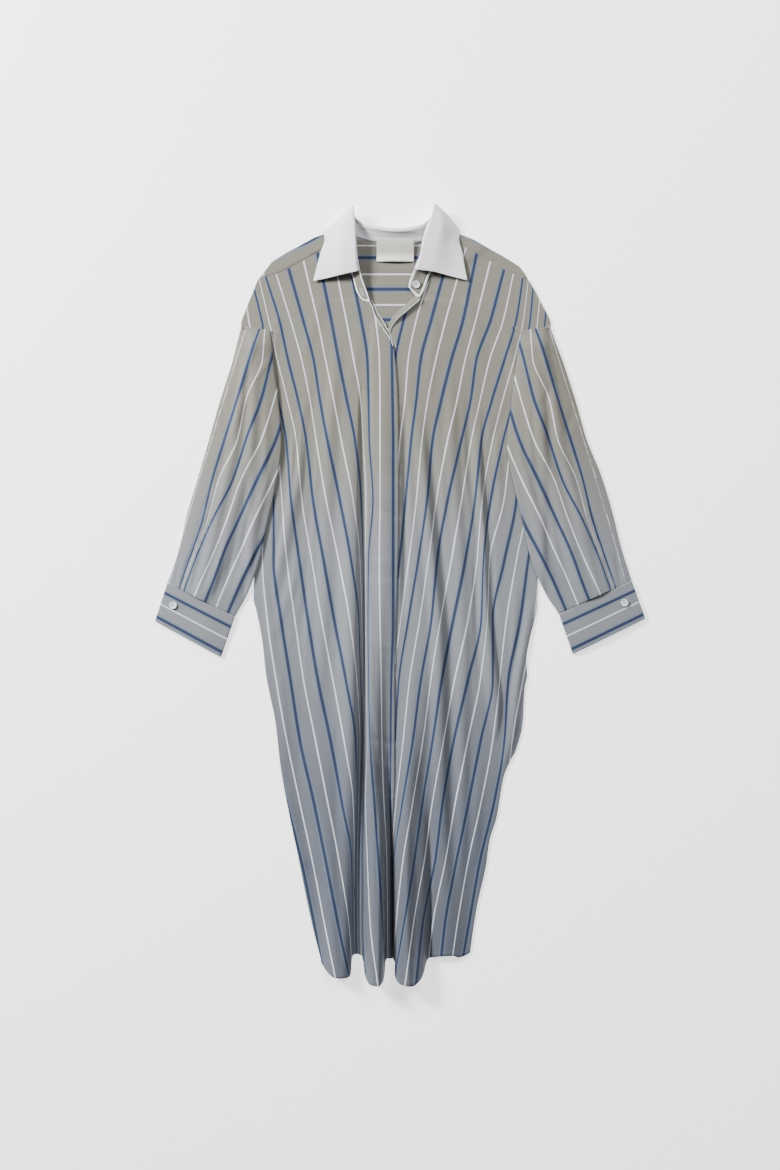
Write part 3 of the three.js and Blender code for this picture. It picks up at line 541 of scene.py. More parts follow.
def fold_columns(rows, y):
    """A fold's three columns at each height, and where the fold runs."""
    heights = [row[0] for row in rows]
    columns = [curve([[row[0], row[k]] for row in rows])(y) for k in (1, 2, 3)]
    return columns, (y <= max(heights)) & (y >= min(heights))


def ridge_sum(x, y, ridges):
    height = np.zeros(np.shape(x))
    for rows in ridges.values():
        (crest, rise, half), inside = fold_columns(rows, y)
        height += np.where(inside, rise * bump((x - crest) / half), 0.0)
    return height


def dressed_height(x, y):
    """How far the top layer stands up at a place on the body."""
    height = ridge_sum(x, y, RIDGES) + FULLNESS * ridge_sum(x, y, WAVES)
    for rows in TROUGHS.values():
        (first, last, depth), inside = fold_columns(rows, y)
        floor = ramp(first - STEEP, first + STEEP, x) * ramp(last + STEEP, last - STEEP, x)
        height -= np.where(inside, depth * floor, 0.0)
    return np.maximum(height, 0.0)


def rise_over(x, y, margin):
    """The collar's back fall lies under the yoke, which rises over it."""
    fall_rise, edge = 1.8, 541 + 0.0028 * x * x - margin
    return fall_rise * ramp(edge - 15, edge, y)


def creases(x, y, rows):
    """Height of small creases: rows of x and y at both ends, half width, and rise or depth."""
    height = np.zeros(np.shape(x))
    for x1, y1, x2, y2, half, rise in rows:
        length = math.hypot(x2 - x1, y2 - y1)
        along = ((x - x1) * (x2 - x1) + (y - y1) * (y2 - y1)) / length
        off = ((y - y1) * (x2 - x1) - (x - x1) * (y2 - y1)) / length
        taper = np.sin(np.pi * np.clip((along + half) / (length + 2 * half), 0, 1)) ** 0.6
        height += rise * bump(off / half) * taper
    return height


PLACKET_CREASES = [
    [-44, 204, 6, 178, 9, -1.1], [-42, 226, 4, 214, 8, 0.8], [-44, 140, 4, 122, 9, -1.2],
    [-40, 160, 4, 148, 7, 0.8],
    [-44, 34, 4, 22, 10, -1.1], [-42, 52, 2, 48, 8, 0.7], [-46, -96, 2, -132, 10, -1.3],
    [-44, -74, 2, -92, 8, 0.9],
    [-46, -228, 0, -240, 9, -1.2], [-44, -262, 0, -284, 9, 1.0], [-44, -300, 0, -322, 9, -1.0],
    [-42, 318, 2, 306, 10, -0.6], [-40, -380, -4, -392, 10, -0.8],
]
RIGHT_CREASES = [
    [-162, 250, -166, 196, 9, 1.8], [-176, 240, -184, 150, 9, -1.4], [-150, 300, -168, 232, 12, 1.4],
    [-140, -440, -118, -470, 12, -2.2], [-152, 60, -196, -60, 14, 1.6], [-214, 30, -196, -120, 10, 1.6],
    [-104, 330, -120, 200, 14, 1.0], [-96, 120, -112, -40, 16, 1.2], [-190, -120, -176, -260, 12, 1.6],
    [-86, -60, -98, -220, 12, 1.3], [-150, -260, -130, -420, 13, 1.6], [-60, 420, -76, 330, 14, 1.0],
    [-120, 470, -150, 380, 16, 1.0], [-190, 440, -206, 330, 12, 1.4], [-136, 40, -160, -80, 12, -1.2],
]
LEFT_CREASES = [
    [60, 430, 48, 320, 14, 1.2], [112, 470, 134, 360, 16, 1.2], [176, 420, 190, 320, 12, 1.4],
    [84, 290, 76, 150, 14, 1.4], [158, 250, 164, 120, 11, 1.6], [104, 90, 120, -60, 14, 1.4],
    [30, 120, 34, -60, 13, 1.2], [190, 10, 184, -110, 10, 1.8], [196, -60, 176, -180, 9, -1.4],
    [96, -150, 104, -300, 14, 1.4], [130, -280, 124, -420, 13, 1.6], [44, -120, 40, -260, 12, 1.2],
    [160, 180, 132, 90, 12, -1.2], [60, -360, 56, -480, 12, 1.2],
]


class Panel:
    """A front, by its stripes across and heights down."""

    def __init__(self, sections, front_edge, side_edge, seam, hem):
        self.stripes = range(len(next(iter(sections.values()))))
        self.lines = [curve([[y, x[k]] for y, x in sections.items()]) for k in self.stripes]
        self.sign = math.copysign(1, next(iter(sections.values()))[-1])
        self.edge, self.side = curve(front_edge), curve(side_edge)
        self.seam, self.hem = curve(seam), curve(hem)

    def place(self, grain, y):
        values = np.array([line(np.ravel(y)) for line in self.lines])
        return pchip(self.stripes, values, np.ravel(grain)).reshape(np.shape(grain))

    def grain_at(self, x, y):
        """The stripe at a place, found by halving."""
        low, high = np.full(np.shape(x), -4.0), np.full(np.shape(x), 19.0)
        for _ in range(24):
            middle = (low + high) / 2
            before = self.sign * (self.place(middle, y) - x) < 0
            low, high = np.where(before, middle, low), np.where(before, high, middle)
        return (low + high) / 2


right = Panel(RIGHT_SECTIONS, RIGHT_FRONT_EDGE, RIGHT_SIDE_EDGE, RIGHT_SHOULDER_SEAM, RIGHT_HEM)
left = Panel(LEFT_SECTIONS, LEFT_FRONT_EDGE, LEFT_SIDE_EDGE, LEFT_SHOULDER_SEAM, LEFT_HEM)


def under_front(x, y):
    """Middle of the wearer's left front's cloth."""
    small = creases(x, y, LEFT_CREASES) * ramp(-10, 30, x)
    return rise_over(x, y, 38) + LAYER + CLOTH / 2 + dressed_height(x, y) + small


LAP_LIFT = 2.4  # the right front's rise where it laps over the left one
LAP_RAMP = 9


def over_front(x, y):
    """Middle of the wearer's right front's cloth."""
    lap_edge = left.edge(np.minimum(y, 402))
    lap = LAP_LIFT * ramp(lap_edge - LAP_RAMP, lap_edge - 1, x) * ramp(440, 425, y)
    small = creases(x, y, RIGHT_CREASES) * ramp(-46, -60, x) + creases(x, y, PLACKET_CREASES)
    return rise_over(x, y, 38) + LAYER + CLOTH / 2 + dressed_height(x, y) + lap + small


PLACKET_GRAIN = 1.8  # width of the placket, in stripes
PLACKET_COLUMNS = 16
FRONT_COLUMNS = 136
SHOULDER_ROWS = 36
BODY_ROWS = 250
NARROWEST_PLACKET = 0.5


def front_grid(panel, level):
    """Points and UVs of a front, from its shoulder down and from its front edge to its side."""
    y_of = np.linspace(600, -660, 600)
    grain_in = curve(list(zip(y_of, panel.grain_at(panel.edge(y_of), y_of))))
    grain_side = curve(list(zip(y_of, panel.grain_at(panel.side(y_of), y_of))))
    column = np.arange(FRONT_COLUMNS + 1)

    def grain(y):
        start, end = grain_in(y), grain_side(y)
        placket = np.maximum(PLACKET_GRAIN, start + NARROWEST_PLACKET)
        outer = (column - PLACKET_COLUMNS) / (FRONT_COLUMNS - PLACKET_COLUMNS)
        inner = mix(start, placket, column / PLACKET_COLUMNS)
        return np.where(column <= PLACKET_COLUMNS, inner, mix(placket, end, outer))

    top, bottom = np.full(len(column), 540.0), np.full(len(column), -600.0)
    for _ in range(8):
        top = mix(top, panel.seam(panel.place(grain(top), top)) - SEAM_GAP, 0.8)
        bottom = mix(bottom, panel.hem(grain(bottom)), 0.7)
    down = [mix(top, ARMHOLE_TOP, i / SHOULDER_ROWS) for i in range(SHOULDER_ROWS + 1)]
    down += [mix(ARMHOLE_STEP, bottom, i / BODY_ROWS) for i in range(BODY_ROWS + 1)]
    y = np.array(down)
    grains = np.array([grain(row) for row in y])
    x = panel.place(grains, y)
    points = np.dstack([x, y, level(x, y)])
    uvs = np.dstack([grains * PITCH, y]) * MM
    return points, uvs


WALL = 0.8  # shirting in one layer, as it is drawn
HEM_WALL = 1.3  # and turned twice at the hem
HEM_WIDTH = 7.0


def front_wall(points):
    """Thickness of a front, more at its turned hem."""
    above_hem = points[..., 1] - points[-1:, :, 1]
    return WALL + (HEM_WALL - WALL) * ramp(HEM_WIDTH + 0.6, HEM_WIDTH - 0.6, above_hem)


def facing_up(points, uvs):
    """The same grid with its columns in the order that turns its face up."""
    return (points[:, ::-1], uvs[:, ::-1]) if points[0, 0, 0] > points[0, -1, 0] else (points, uvs)


right_points, right_uvs = facing_up(*front_grid(right, over_front))
left_points, left_uvs = facing_up(*front_grid(left, under_front))
right_shell = Shell().sheet(right_points, right_uvs, front_wall(right_points))
front_right = right_shell.mesh("front_right_cloth", SHIRTING)
left_shell = Shell().sheet(left_points, left_uvs, front_wall(left_points))
front_left = left_shell.mesh("front_left_cloth", SHIRTING)
stands_for(front_right, "front_right")
stands_for(front_left, "front_left")


def mottled(name, roughness, scale, first, second):
    """A material whose colour wanders a little between two."""
    shader = Shader(name, Roughness=roughness)
    shader.set("Base Color", shader.mix(shader.noise(scale=scale), srgb(*first), srgb(*second)))
    return shader.material


THREAD_FINISH = mottled("sewing_thread", 0.7, 300.0, (150, 148, 142), (176, 174, 168))


def stitch_nodes():
    """Stitches at even steps along lines, each turned along its line and up off the cloth."""
    tree = bpy.data.node_groups.new("stitches", "GeometryNodeTree")
    kinds = {"Geometry": "Geometry", "Spacing": "Float", "Length": "Float", "Width": "Float"}
    kinds.update({"Seed": "Int", "Material": "Material"})
    for name, kind in kinds.items():
        tree.interface.new_socket(name, in_out="INPUT", socket_type="NodeSocket" + kind)
    tree.interface.new_socket("Geometry", in_out="OUTPUT", socket_type="NodeSocketGeometry")

    def node(kind, values=None, **settings):
        made = tree.nodes.new(kind)
        for name, setting in settings.items():
            setattr(made, name, setting)
        for name, value in (values or {}).items():
            if isinstance(value, bpy.types.NodeSocket):
                tree.links.new(value, made.inputs[name])
            else:
                made.inputs[name].default_value = value
        return made

    given = node("NodeGroupInput").outputs
    lines = node("GeometryNodeMeshToCurve", {"Mesh": given["Geometry"]})
    spaced = {"Curve": lines.outputs[0], "Length": given["Spacing"]}
    steps = node("GeometryNodeResampleCurve", spaced, mode="LENGTH")
    half_length = node("ShaderNodeMath", {0: given["Length"], 1: 0.5}, operation="MULTIPLY")
    half_width = node("ShaderNodeMath", {0: given["Width"], 1: 0.5}, operation="MULTIPLY")
    wide = half_width.outputs[0]
    size = node("ShaderNodeCombineXYZ", {"X": half_length.outputs[0], "Y": wide, "Z": wide})
    ball = node("GeometryNodeMeshIcoSphere", {"Radius": 1.0, "Subdivisions": 1})
    stitch = node("GeometryNodeTransform", {"Geometry": ball.outputs[0], "Scale": size.outputs[0]})
    tangent = node("GeometryNodeInputTangent")
    along = node("FunctionNodeAlignRotationToVector", {"Vector": tangent.outputs[0]}, axis="X")
    up = node("GeometryNodeInputNamedAttribute", {"Name": "up"}, data_type="FLOAT_VECTOR")
    upright = {"Rotation": along.outputs[0], "Vector": up.outputs[0]}
    turned = node("FunctionNodeAlignRotationToVector", upright, axis="Z", pivot_axis="X")
    uneven = node("FunctionNodeRandomValue", {2: 0.85, 3: 1.1, "Seed": given["Seed"]}, data_type="FLOAT")
    placed = node("GeometryNodeInstanceOnPoints", {
        "Points": steps.outputs[0], "Instance": stitch.outputs[0],
        "Rotation": turned.outputs[0], "Scale": uneven.outputs[1],
    })
    real = node("GeometryNodeRealizeInstances", {"Geometry": placed.outputs[0]})
    finish = node("GeometryNodeSetMaterial", {"Geometry": real.outputs[0], "Material": given["Material"]})
    node("NodeGroupOutput", {"Geometry": finish.outputs[0]})
    return tree


STITCHES = stitch_nodes()


def stitches(name, lines, slot, material=None, spacing=2.7, length=2.1, width=0.42):
    """Sewing along lines of places and the cloth's normals there, in millimetres."""
    mesh = bpy.data.meshes.new(name)
    edges, start = [], 0
    for places, _ in lines:
        edges += [(start + i, start + i + 1) for i in range(len(places) - 1)]
        start += len(places)
    places = (np.vstack([line[0] for line in lines]) - CENTRE) * MM
    mesh.from_pydata(places.tolist(), edges, [])
    up = mesh.attributes.new("up", "FLOAT_VECTOR", "POINT")
    up.data.foreach_set("vector", np.vstack([line[1] for line in lines]).astype(np.float32).ravel())
    made = bpy.data.objects.new(name, mesh)
    bpy.context.scene.collection.objects.link(made)
    modifier = made.modifiers.new("stitches", "NODES")
    modifier.node_group = STITCHES
    values = {"Spacing": spacing * MM, "Length": length * MM, "Width": width * MM}
    values.update({"Seed": 7, "Material": material or THREAD_FINISH})
    for item in STITCHES.interface.items_tree:
        if item.in_out == "INPUT" and item.name in values:
            modifier[item.identifier] = values[item.name]
    depsgraph = bpy.context.evaluated_depsgraph_get()
    made.data = bpy.data.meshes.new_from_object(made.evaluated_get(depsgraph))
    made.modifiers.clear()
    made.data.polygons.foreach_set("use_smooth", np.ones(len(made.data.polygons), dtype=bool))
    return belongs(made)


def trace(points, rows, columns, lift, around=False):
    """Places on a grid at fractional rows and columns, lifted off it, and the normals there."""
    normals = grid_normals(points, around)
    r, c = np.broadcast_arrays(np.asarray(rows, float), np.asarray(columns, float))
    r0, c0 = np.clip(r.astype(int), 0, points.shape[0] - 2), np.clip(c.astype(int), 0, points.shape[1] - 2)
    dr, dc = (r - r0)[:, None], (c - c0)[:, None]

    def at(grid):
        near = mix(grid[r0, c0], grid[r0, c0 + 1], dc)
        return mix(near, mix(grid[r0 + 1, c0], grid[r0 + 1, c0 + 1], dc), dr)

    normal = at(normals)
    normal /= np.linalg.norm(normal, axis=1, keepdims=True)
    return at(points) + normal * lift, normal


HEM_STITCH_ROW = len(right_points) - 2.4  # 5.5 mm above the hem
NECK_ROWS = np.arange(1, 56, 1.0)  # of the neck opening's edge, from the shoulder seam down
hem_columns = np.arange(0.7, FRONT_COLUMNS - 0.6, 1.0)
ABOVE_HEM = HEM_WALL / 2 + 0.05  # of a wall's middle, where stitches lie
ABOVE_WALL = WALL / 2 + 0.1
SHOULDER_STITCH_ROW = SHOULDER_ROWS - 0.7
front_right_sewing = stitches("front_right_sewing", [
    trace(right_points, HEM_STITCH_ROW, hem_columns, ABOVE_HEM),
    trace(right_points, NECK_ROWS, FRONT_COLUMNS - 2.2, ABOVE_WALL),
    trace(right_points, SHOULDER_STITCH_ROW, np.arange(0.5, 14.0, 0.5), ABOVE_WALL),
], "shirting")
front_left_sewing = stitches("front_left_sewing", [
    trace(left_points, HEM_STITCH_ROW, hem_columns, ABOVE_HEM),
    trace(left_points, NECK_ROWS, 2.2, ABOVE_WALL),
    trace(left_points, SHOULDER_STITCH_ROW, FRONT_COLUMNS - np.arange(14.0, 0.5, -0.5), ABOVE_WALL),
], "shirting")

# Edges of the neck opening

# The placket's under layer shows beside the right front's edge, and the left front's edge is
# turned back on itself, so that its lower rim stands up. Both are pressed folds of shirting.

UNDER_LAYER = [
    [-46, 474], [-42.4, 470.4], [-31.2, 449.6], [-23.2, 436.8], [-15.2, 420.8], [-7.2, 404.8],
    [-2, 394],
]
TURNED_RIM = [[36, 472], [33.6, 468], [14.4, 451.2], [-2.4, 436.8], [-10.4, 424.8], [-12.8, 416]]
TURNED_FOLD = [[32, 479], [26.4, 474], [8, 457.4], [-7.2, 442.4], [-13.9, 429.4], [-15.2, 418]]
PLAIN_GRAIN = 0.52 * PITCH * MM  # a place between two stripes
# The rolled rims take the white stripe's colour as a painted highlight.
EDGE_HIGHLIGHT_GRAIN = 1.0 * PITCH * MM  # and one on a white stripe


def smooth_line(rows, count):
    rows = np.array(rows, float)
    at = np.linspace(0, len(rows) - 1, count)
    return np.stack([pchip(range(len(rows)), rows[:, k], at) for k in range(rows.shape[1])], axis=1)


def bead(shell, line, radius, grain, sides=8):
    """A rolled edge of cloth along a line of places."""
    tangent = np.gradient(line, axis=0)
    tangent /= np.linalg.norm(tangent, axis=1, keepdims=True)
    side = np.cross(tangent, [0, 0, 1])
    side /= np.linalg.norm(side, axis=1, keepdims=True)
    up = np.cross(side, tangent)
    turn = np.linspace(0, math.tau, sides, endpoint=False)[None, :, None]
    ring = line[:, None] + radius * (np.cos(turn) * side[:, None] + np.sin(turn) * up[:, None])
    uvs = np.full(ring.shape[:2] + (2,), grain)
    return shell.tube(ring, uvs, 0.3)


def neck_edges():
    shell = Shell()
    outer = smooth_line(UNDER_LAYER, 60)
    inner = outer - [12, 3]
    edge_z = over_front(right.edge(outer[:, 1]) - 1.0, outer[:, 1]) - 1.5
    strip = np.array([
        np.column_stack([mix(inner, outer, t), edge_z - 0.6 * t]) for t in (0, 0.4, 0.7, 0.9, 1)
    ]).transpose(1, 0, 2)
    shell.sheet(strip, np.full(strip.shape[:2] + (2,), PLAIN_GRAIN), 0.9)
    # The beads along the rims are painted highlights: they take the white stripe's colour to stand for the
    # light their rolled edges catch.
    bead(shell, strip[:, -1], 0.45, EDGE_HIGHLIGHT_GRAIN)
    rows = np.linspace(466, 396, 60)
    upper = np.column_stack([right.edge(rows), rows, over_front(right.edge(rows), rows) + 0.4])
    bead(shell, upper, 0.5, EDGE_HIGHLIGHT_GRAIN)
    rim, fold = smooth_line(TURNED_RIM, 60), smooth_line(TURNED_FOLD, 60)
    base = under_front(rim[:, 0], rim[:, 1]) + 0.9
    high = 0.4 + 4.6 * ramp(-14, 6, rim[:, 0])
    turned = np.array([
        np.column_stack([mix(fold, rim, t), base + high * t ** 0.8 + 0.5 * math.sin(math.pi * t)])
        for t in (0, 0.15, 0.35, 0.6, 0.85, 1)
    ]).transpose(1, 0, 2)
    shell.sheet(turned, np.full(turned.shape[:2] + (2,), PLAIN_GRAIN), 0.9)
    bead(shell, turned[:, -1], 0.5, EDGE_HIGHLIGHT_GRAIN)
    return shell.mesh("neck_edges", SHIRTING)


edges_of_neck = belongs(neck_edges())

# Placket

# A strip of shirting folded over the right front's edge and stitched down its inner side. Its own
# buttons are behind it. It is made from the front's points, moved out.

PLACKET_TOP = 462


def placket_grid():
    points, uvs = right_points[:, ::-1], right_uvs[:, ::-1]
    first = int(np.argmax(points[:, 0, 1] < PLACKET_TOP))
    lift = grid_normals(right_points)[:, ::-1][first:, :PLACKET_COLUMNS + 1] * (LAYER - 0.2)
    strip = points[first:, :PLACKET_COLUMNS + 1] + lift
    return facing_up(strip, uvs[first:, :PLACKET_COLUMNS + 1])


placket = Shell().sheet(*placket_grid(), 1.0).mesh("placket_cloth", SHIRTING)
stands_for(placket, "placket")
placket_points = placket_grid()[0]
placket_rows = np.arange(3, len(placket_points) - 2, 1.0)
placket_sewing = stitches("placket_sewing", [trace(placket_points, placket_rows, 0.9, 0.6)], "shirting")

# Back panel

# One plain piece of the same poplin behind both fronts, with a shirt-tail hem. It lies flat on the
# surface and is sewn to the fronts at the side seams and to the yoke at its top.

YOKE_HEM = 406
BACK_CORNER = -545.0  # height at which the side seams end
BACK_HEM = [[-130, -535], [-112, -556], [-90, -564], [0, -566], [90, -564], [108, -556], [125, -535]]


def back_grid(columns=48, rows=110):
    across = np.linspace(0, 1, columns + 1)
    bottom = curve(BACK_HEM)(mix(right.side(BACK_CORNER), left.side(BACK_CORNER), across))
    y = np.array([mix(YOKE_HEM - SEAM_GAP, bottom, i / rows) for i in range(rows + 1)])
    x = mix(right.side(y), left.side(y), across)
    return np.dstack([x, y, np.full(x.shape, CLOTH / 2)]), np.dstack([x, y]) * MM


back_panel = Shell().sheet(*back_grid(), 1.0).mesh("back_panel_cloth", SHIRTING)
stands_for(back_panel, "back_panel")

# Yoke

# One piece of shirting with its stripes across the back. It comes over the shoulders to a
# topstitched forward seam on each front.

# Rows of outline x and y, and the x of the same column at the yoke's lower edge.
YOKE_RIGHT_ARMHOLE = [[-249.5, 429, -226], [-242, 456, -218], [-231, 482, -210], [-219.5, 507, -202]]
YOKE_RIGHT_SHOULDER = [
    [-213, 515, -194], [-201, 531, -182], [-180, 544, -164], [-156, 557, -144], [-134, 569, -124],
    [-120, 574, -108], [-101, 576, -94], [-83, 578, -80],
]
YOKE_NECK = [
    [-78, 576, -74], [-65, 567, -62], [-44, 562, -42], [-22, 559, -21], [0, 558, 0], [22, 559, 21],
    [44, 562, 42], [65, 567, 62], [78, 576, 74],
]
YOKE_LEFT_SHOULDER = [
    [83, 578, 80], [99, 575, 98], [120, 567, 118], [143, 554, 138], [170, 539, 160], [194, 524, 182],
    [204, 511, 194],
]
YOKE_LEFT_ARMHOLE = [[209, 502, 202], [229, 466, 212], [244.5, 429, 226]]
YOKE_STRIPES = [[556.8, -1], [537.6, 0], [511.2, 1], [487.4, 2], [462.4, 3], [438.4, 4]]  # height, stripe
SEAM_STRIPE = 0.95  # the stripe that lies along the forward seam, white


def spread(rows, count):
    """Rows at even steps along their own length."""
    rows = np.array(rows, float)
    along = np.concatenate([[0], np.cumsum(np.linalg.norm(np.diff(rows[:, :2], axis=0), axis=1))])
    at = np.linspace(0, along[-1], count)
    return np.stack([np.interp(at, along, rows[:, k]) for k in range(rows.shape[1])], axis=1)


def yoke_back_grid():
    right_side, left_side = YOKE_RIGHT_ARMHOLE + YOKE_RIGHT_SHOULDER, YOKE_LEFT_SHOULDER + YOKE_LEFT_ARMHOLE
    outline = spread(right_side + YOKE_NECK + left_side, 120)
    t = np.linspace(1, 0, 40)[:, None]
    x, y = mix(outline[:, 2], outline[:, 0], t), mix(YOKE_HEM, outline[:, 1], t)
    z = rise_over(x, y, 20) + CLOTH / 2
    grain = curve(YOKE_STRIPES)(y)
    return np.dstack([x, y, z]), np.dstack([grain * PITCH, x]) * MM


def yoke_front_grid(rows, seam, slant):
    """From the shoulder's fold over to the forward seam, with the fold turned under."""
    rows = spread(rows, 60)
    x, y = rows[:, 0], rows[:, 1]
    end = seam(x) + SEAM_GAP
    levels = []
    for t in (-0.12, -0.06, -0.03, 0.0, 0.04, 0.1, 0.2, 0.4, 0.6, 0.8, 1.0):
        py = mix(y, end, abs(t))
        low = rise_over(x, y, 20) + CLOTH / 2
        high = rise_over(x, py, 38) + LAYER + CLOTH / 2
        side = {-0.12: 0.0, -0.06: 0.1, -0.03: 0.3, 0.0: 0.55, 0.04: 0.85}.get(t, 1.0)
        levels.append(np.stack([x, py, mix(low, high, side)], axis=1))
    points = np.array(levels)
    steps = np.linalg.norm(np.diff(points, axis=0), axis=2)
    from_seam = np.vstack([np.cumsum(steps[::-1], axis=0)[::-1], np.zeros(len(x))])
    across_seam = from_seam * slant  # the seam runs at a slant to the columns
    grain = SEAM_STRIPE - across_seam / PITCH * mix(1.0, 0.86, ramp(134, 165, np.abs(x)))
    uvs = np.dstack([grain * PITCH, np.broadcast_to(x, grain.shape)]) * MM
    return facing_up(points, uvs)


yoke_shell = Shell().sheet(*facing_up(*yoke_back_grid()), 1.0)
yoke_right_points, yoke_right_uvs = yoke_front_grid(YOKE_RIGHT_SHOULDER, right.seam, 0.85)
yoke_left_points, yoke_left_uvs = yoke_front_grid(YOKE_LEFT_SHOULDER, left.seam, 1.08)
yoke_shell.sheet(yoke_right_points, yoke_right_uvs, WALL)
yoke_shell.sheet(yoke_left_points, yoke_left_uvs, WALL)
yoke = yoke_shell.mesh("yoke_cloth", SHIRTING)
stands_for(yoke, "yoke")
seam_columns = np.arange(1, 59, 0.5)
yoke_sewing = stitches("yoke_sewing", [
    trace(yoke_right_points, 9.7, seam_columns, ABOVE_WALL),
    trace(yoke_left_points, 9.7, seam_columns, ABOVE_WALL),
], "shirting")

# Sleeves

# Shirting tubes pressed flat, set on at the dropped shoulder and gathered a little into the cuffs.
# They lie on the body's sides.

# A row is a section: its outer edge [x, y] and its inner one.
RIGHT_SLEEVE = [
    [[-250, 427.4], [-203, 421]], [[-258, 397], [-200, 395]], [[-263, 376], [-198, 373]],
    [[-284, 309], [-190, 309]], [[-302, 246], [-185, 240]], [[-320, 184], [-195, 171]],
    [[-338, 123], [-208, 112]], [[-350, 70], [-220, 56]], [[-361, 38], [-238, 4]],
    [[-368.1, 18.1], [-259.8, -36.5]],
]
LEFT_SLEEVE = [
    [[244, 427.4], [197, 420]], [[255, 397], [193, 395]], [[263, 376], [190, 371]],
    [[285, 309], [182, 307]], [[303, 246], [175, 238]], [[325, 192], [184, 182]],
    [[343, 134], [198, 123]], [[358, 74], [213, 56]], [[368, 42], [234, 5]],
    [[374.5, 21.5], [257.8, -32]],
]
RIGHT_CUFF = [[[-368.3, 17.6], [-260, -37]], [[-388, -43], [-282, -101]]]
LEFT_CUFF = [[[374.7, 21], [258, -32.5]], [[396.5, -39], [280, -96]]]

# Stripes of a sleeve from its outer edge in, white first: a height, and their distance from the
# placket's line. The sleeves mirror each other.
SLEEVE_SECTIONS = {
    430: [241, 217, 212, 186, 162, 140, 116, 92, 68],
    374: [258, 236, 215, 202, 180, 159, 137, 114, 92],
    310: [278, 255, 242, 217, 197, 175, 154, 132, 110],
    246: [298, 276, 255, 242, 217, 194, 172, 150, 127],
    182: [318, 295, 286, 262, 250, 224, 198, 174, 151],
    118: [337, 310, 303, 296, 272, 254, 229, 199, 177],
    70: [351, 326, 322, 318, 291, 276, 250, 224, 201],
    22: [364, 343, 340, 336, 313, 293, 272, 248, 225],
    -42: [383, 362, 359, 356, 342, 319, 298, 276, 255],
}
EDGE_HEIGHT = 2 * CLOTH + 1  # at a tube's two folded edges
SLEEVE_PUFF = 9
ONTO_FRONT_START, ONTO_FRONT_END, ONTO_FRONT_HEIGHT = -18, -4, 2 * LAYER + 0.6

# Long soft folds down a sleeve: place across, drift, rise, half width, start and end.
SLEEVE_FOLDS = [
    [0.3, 0.12, 4, 0.13, 0.12, 1.1],
    [0.62, -0.1, 3.5, 0.12, 0.2, 1.1],
    [0.82, 0.04, 3, 0.1, 0.35, 1.0],
]

# Small creases, by distance from the placket's line: at the dropped shoulder, the elbow and the cuff.
SLEEVE_CREASES = [
    [222, 410, 250, 330, 8, 1.6], [236, 330, 276, 230, 11, 1.6], [262, 250, 300, 140, 10, -1.8],
    [290, 176, 332, 60, 7, 2.2], [300, 160, 344, 20, 6, -2.2], [208, 300, 214, 190, 9, 1.6],
    [196, 240, 230, 130, 8, -1.4], [234, 160, 262, 60, 9, 1.8], [250, 110, 276, 10, 7, -1.8],
    [274, 90, 298, -6, 7, 1.8], [292, 70, 314, -2, 6, -1.6], [320, 60, 334, 6, 6, 1.6],
    [348, 70, 356, 16, 6, -1.4], [216, 100, 244, 30, 7, 1.4], [246, 330, 232, 300, 12, -1.2],
    [284, 300, 270, 262, 10, -1.0], [206, 372, 226, 340, 8, 1.2],
]


def sleeve_support(x, y):
    """What lies under a sleeve: the front, near the body's side."""
    inside = np.where(x < 0, x - right.side(y), left.side(y) - x)
    return (ONTO_FRONT_HEIGHT + 1.1 * dressed_height(x, y)) * ramp(ONTO_FRONT_START, ONTO_FRONT_END, inside)


def sleeve_top(w, along, x, y):
    puff = SLEEVE_PUFF * np.sin(np.pi * w) ** 0.7 * (1 - 0.35 * along) * ramp(-0.02, 0.13, along)
    height = EDGE_HEIGHT + puff
    for across, drift, rise, half, start, end in SLEEVE_FOLDS:
        fade = ramp(start, start + 0.25, along) * (1 - ramp(end - 0.2, end, along))
        height = height + rise * fade * bump((w - across - drift * along) / half)
    inner = ramp(0.02, 0.14, w) * ramp(0.98, 0.86, w)
    return height + creases(np.abs(x), y, SLEEVE_CREASES) * inner


def tube_grid(rows, count, top, cloth, lift, upper=64, lower=30, turn=5):
    """Middle of a flat tube's wall: rows along it, and places round it from the outer edge."""
    ends = [[curve([[i, row[end][k]] for i, row in enumerate(rows)]) for k in (0, 1)] for end in (0, 1)]
    at = np.linspace(0, len(rows) - 1, count + 1)[:, None]
    outer, inner = [[k(at) for k in pair] for pair in ends]
    width = np.hypot(inner[0] - outer[0], inner[1] - outer[1])
    radius = (EDGE_HEIGHT - cloth) / 2
    round_edge = np.linspace(-90, 90, turn + 2)[1:-1] * math.pi / 180
    start = (cloth / 2 + radius) / width
    over = np.broadcast_to(0.5 - 0.5 * np.cos(np.pi * np.linspace(0, 1, upper)), (count + 1, upper))
    under = np.broadcast_to(np.linspace(1, 0, lower), (count + 1, lower))
    across = np.hstack([
        start - radius / width * np.cos(round_edge),
        mix(start, 1 - start, over),
        1 - start + radius / width * np.cos(round_edge),
        mix(start, 1 - start, under),
    ])
    x, y = mix(outer[0], inner[0], across), mix(outer[1], inner[1], across)
    along = np.broadcast_to(at / (len(rows) - 1), across.shape)
    ceiling = top(np.clip(across, 0, 1), along, x, y) - cloth / 2
    middle, half = EDGE_HEIGHT / 2, radius
    z = np.hstack([
        np.broadcast_to(middle + half * np.sin(round_edge), (count + 1, turn)),
        ceiling[:, turn:turn + upper],
        np.broadcast_to(middle - half * np.sin(round_edge), (count + 1, turn)),
        np.full((count + 1, lower), cloth / 2),
    ])
    points = np.dstack([x, y, lift(x, y) + z])
    return points, across, along


sleeve_lines = [curve([[y, x[k]] for y, x in SLEEVE_SECTIONS.items()]) for k in range(9)]


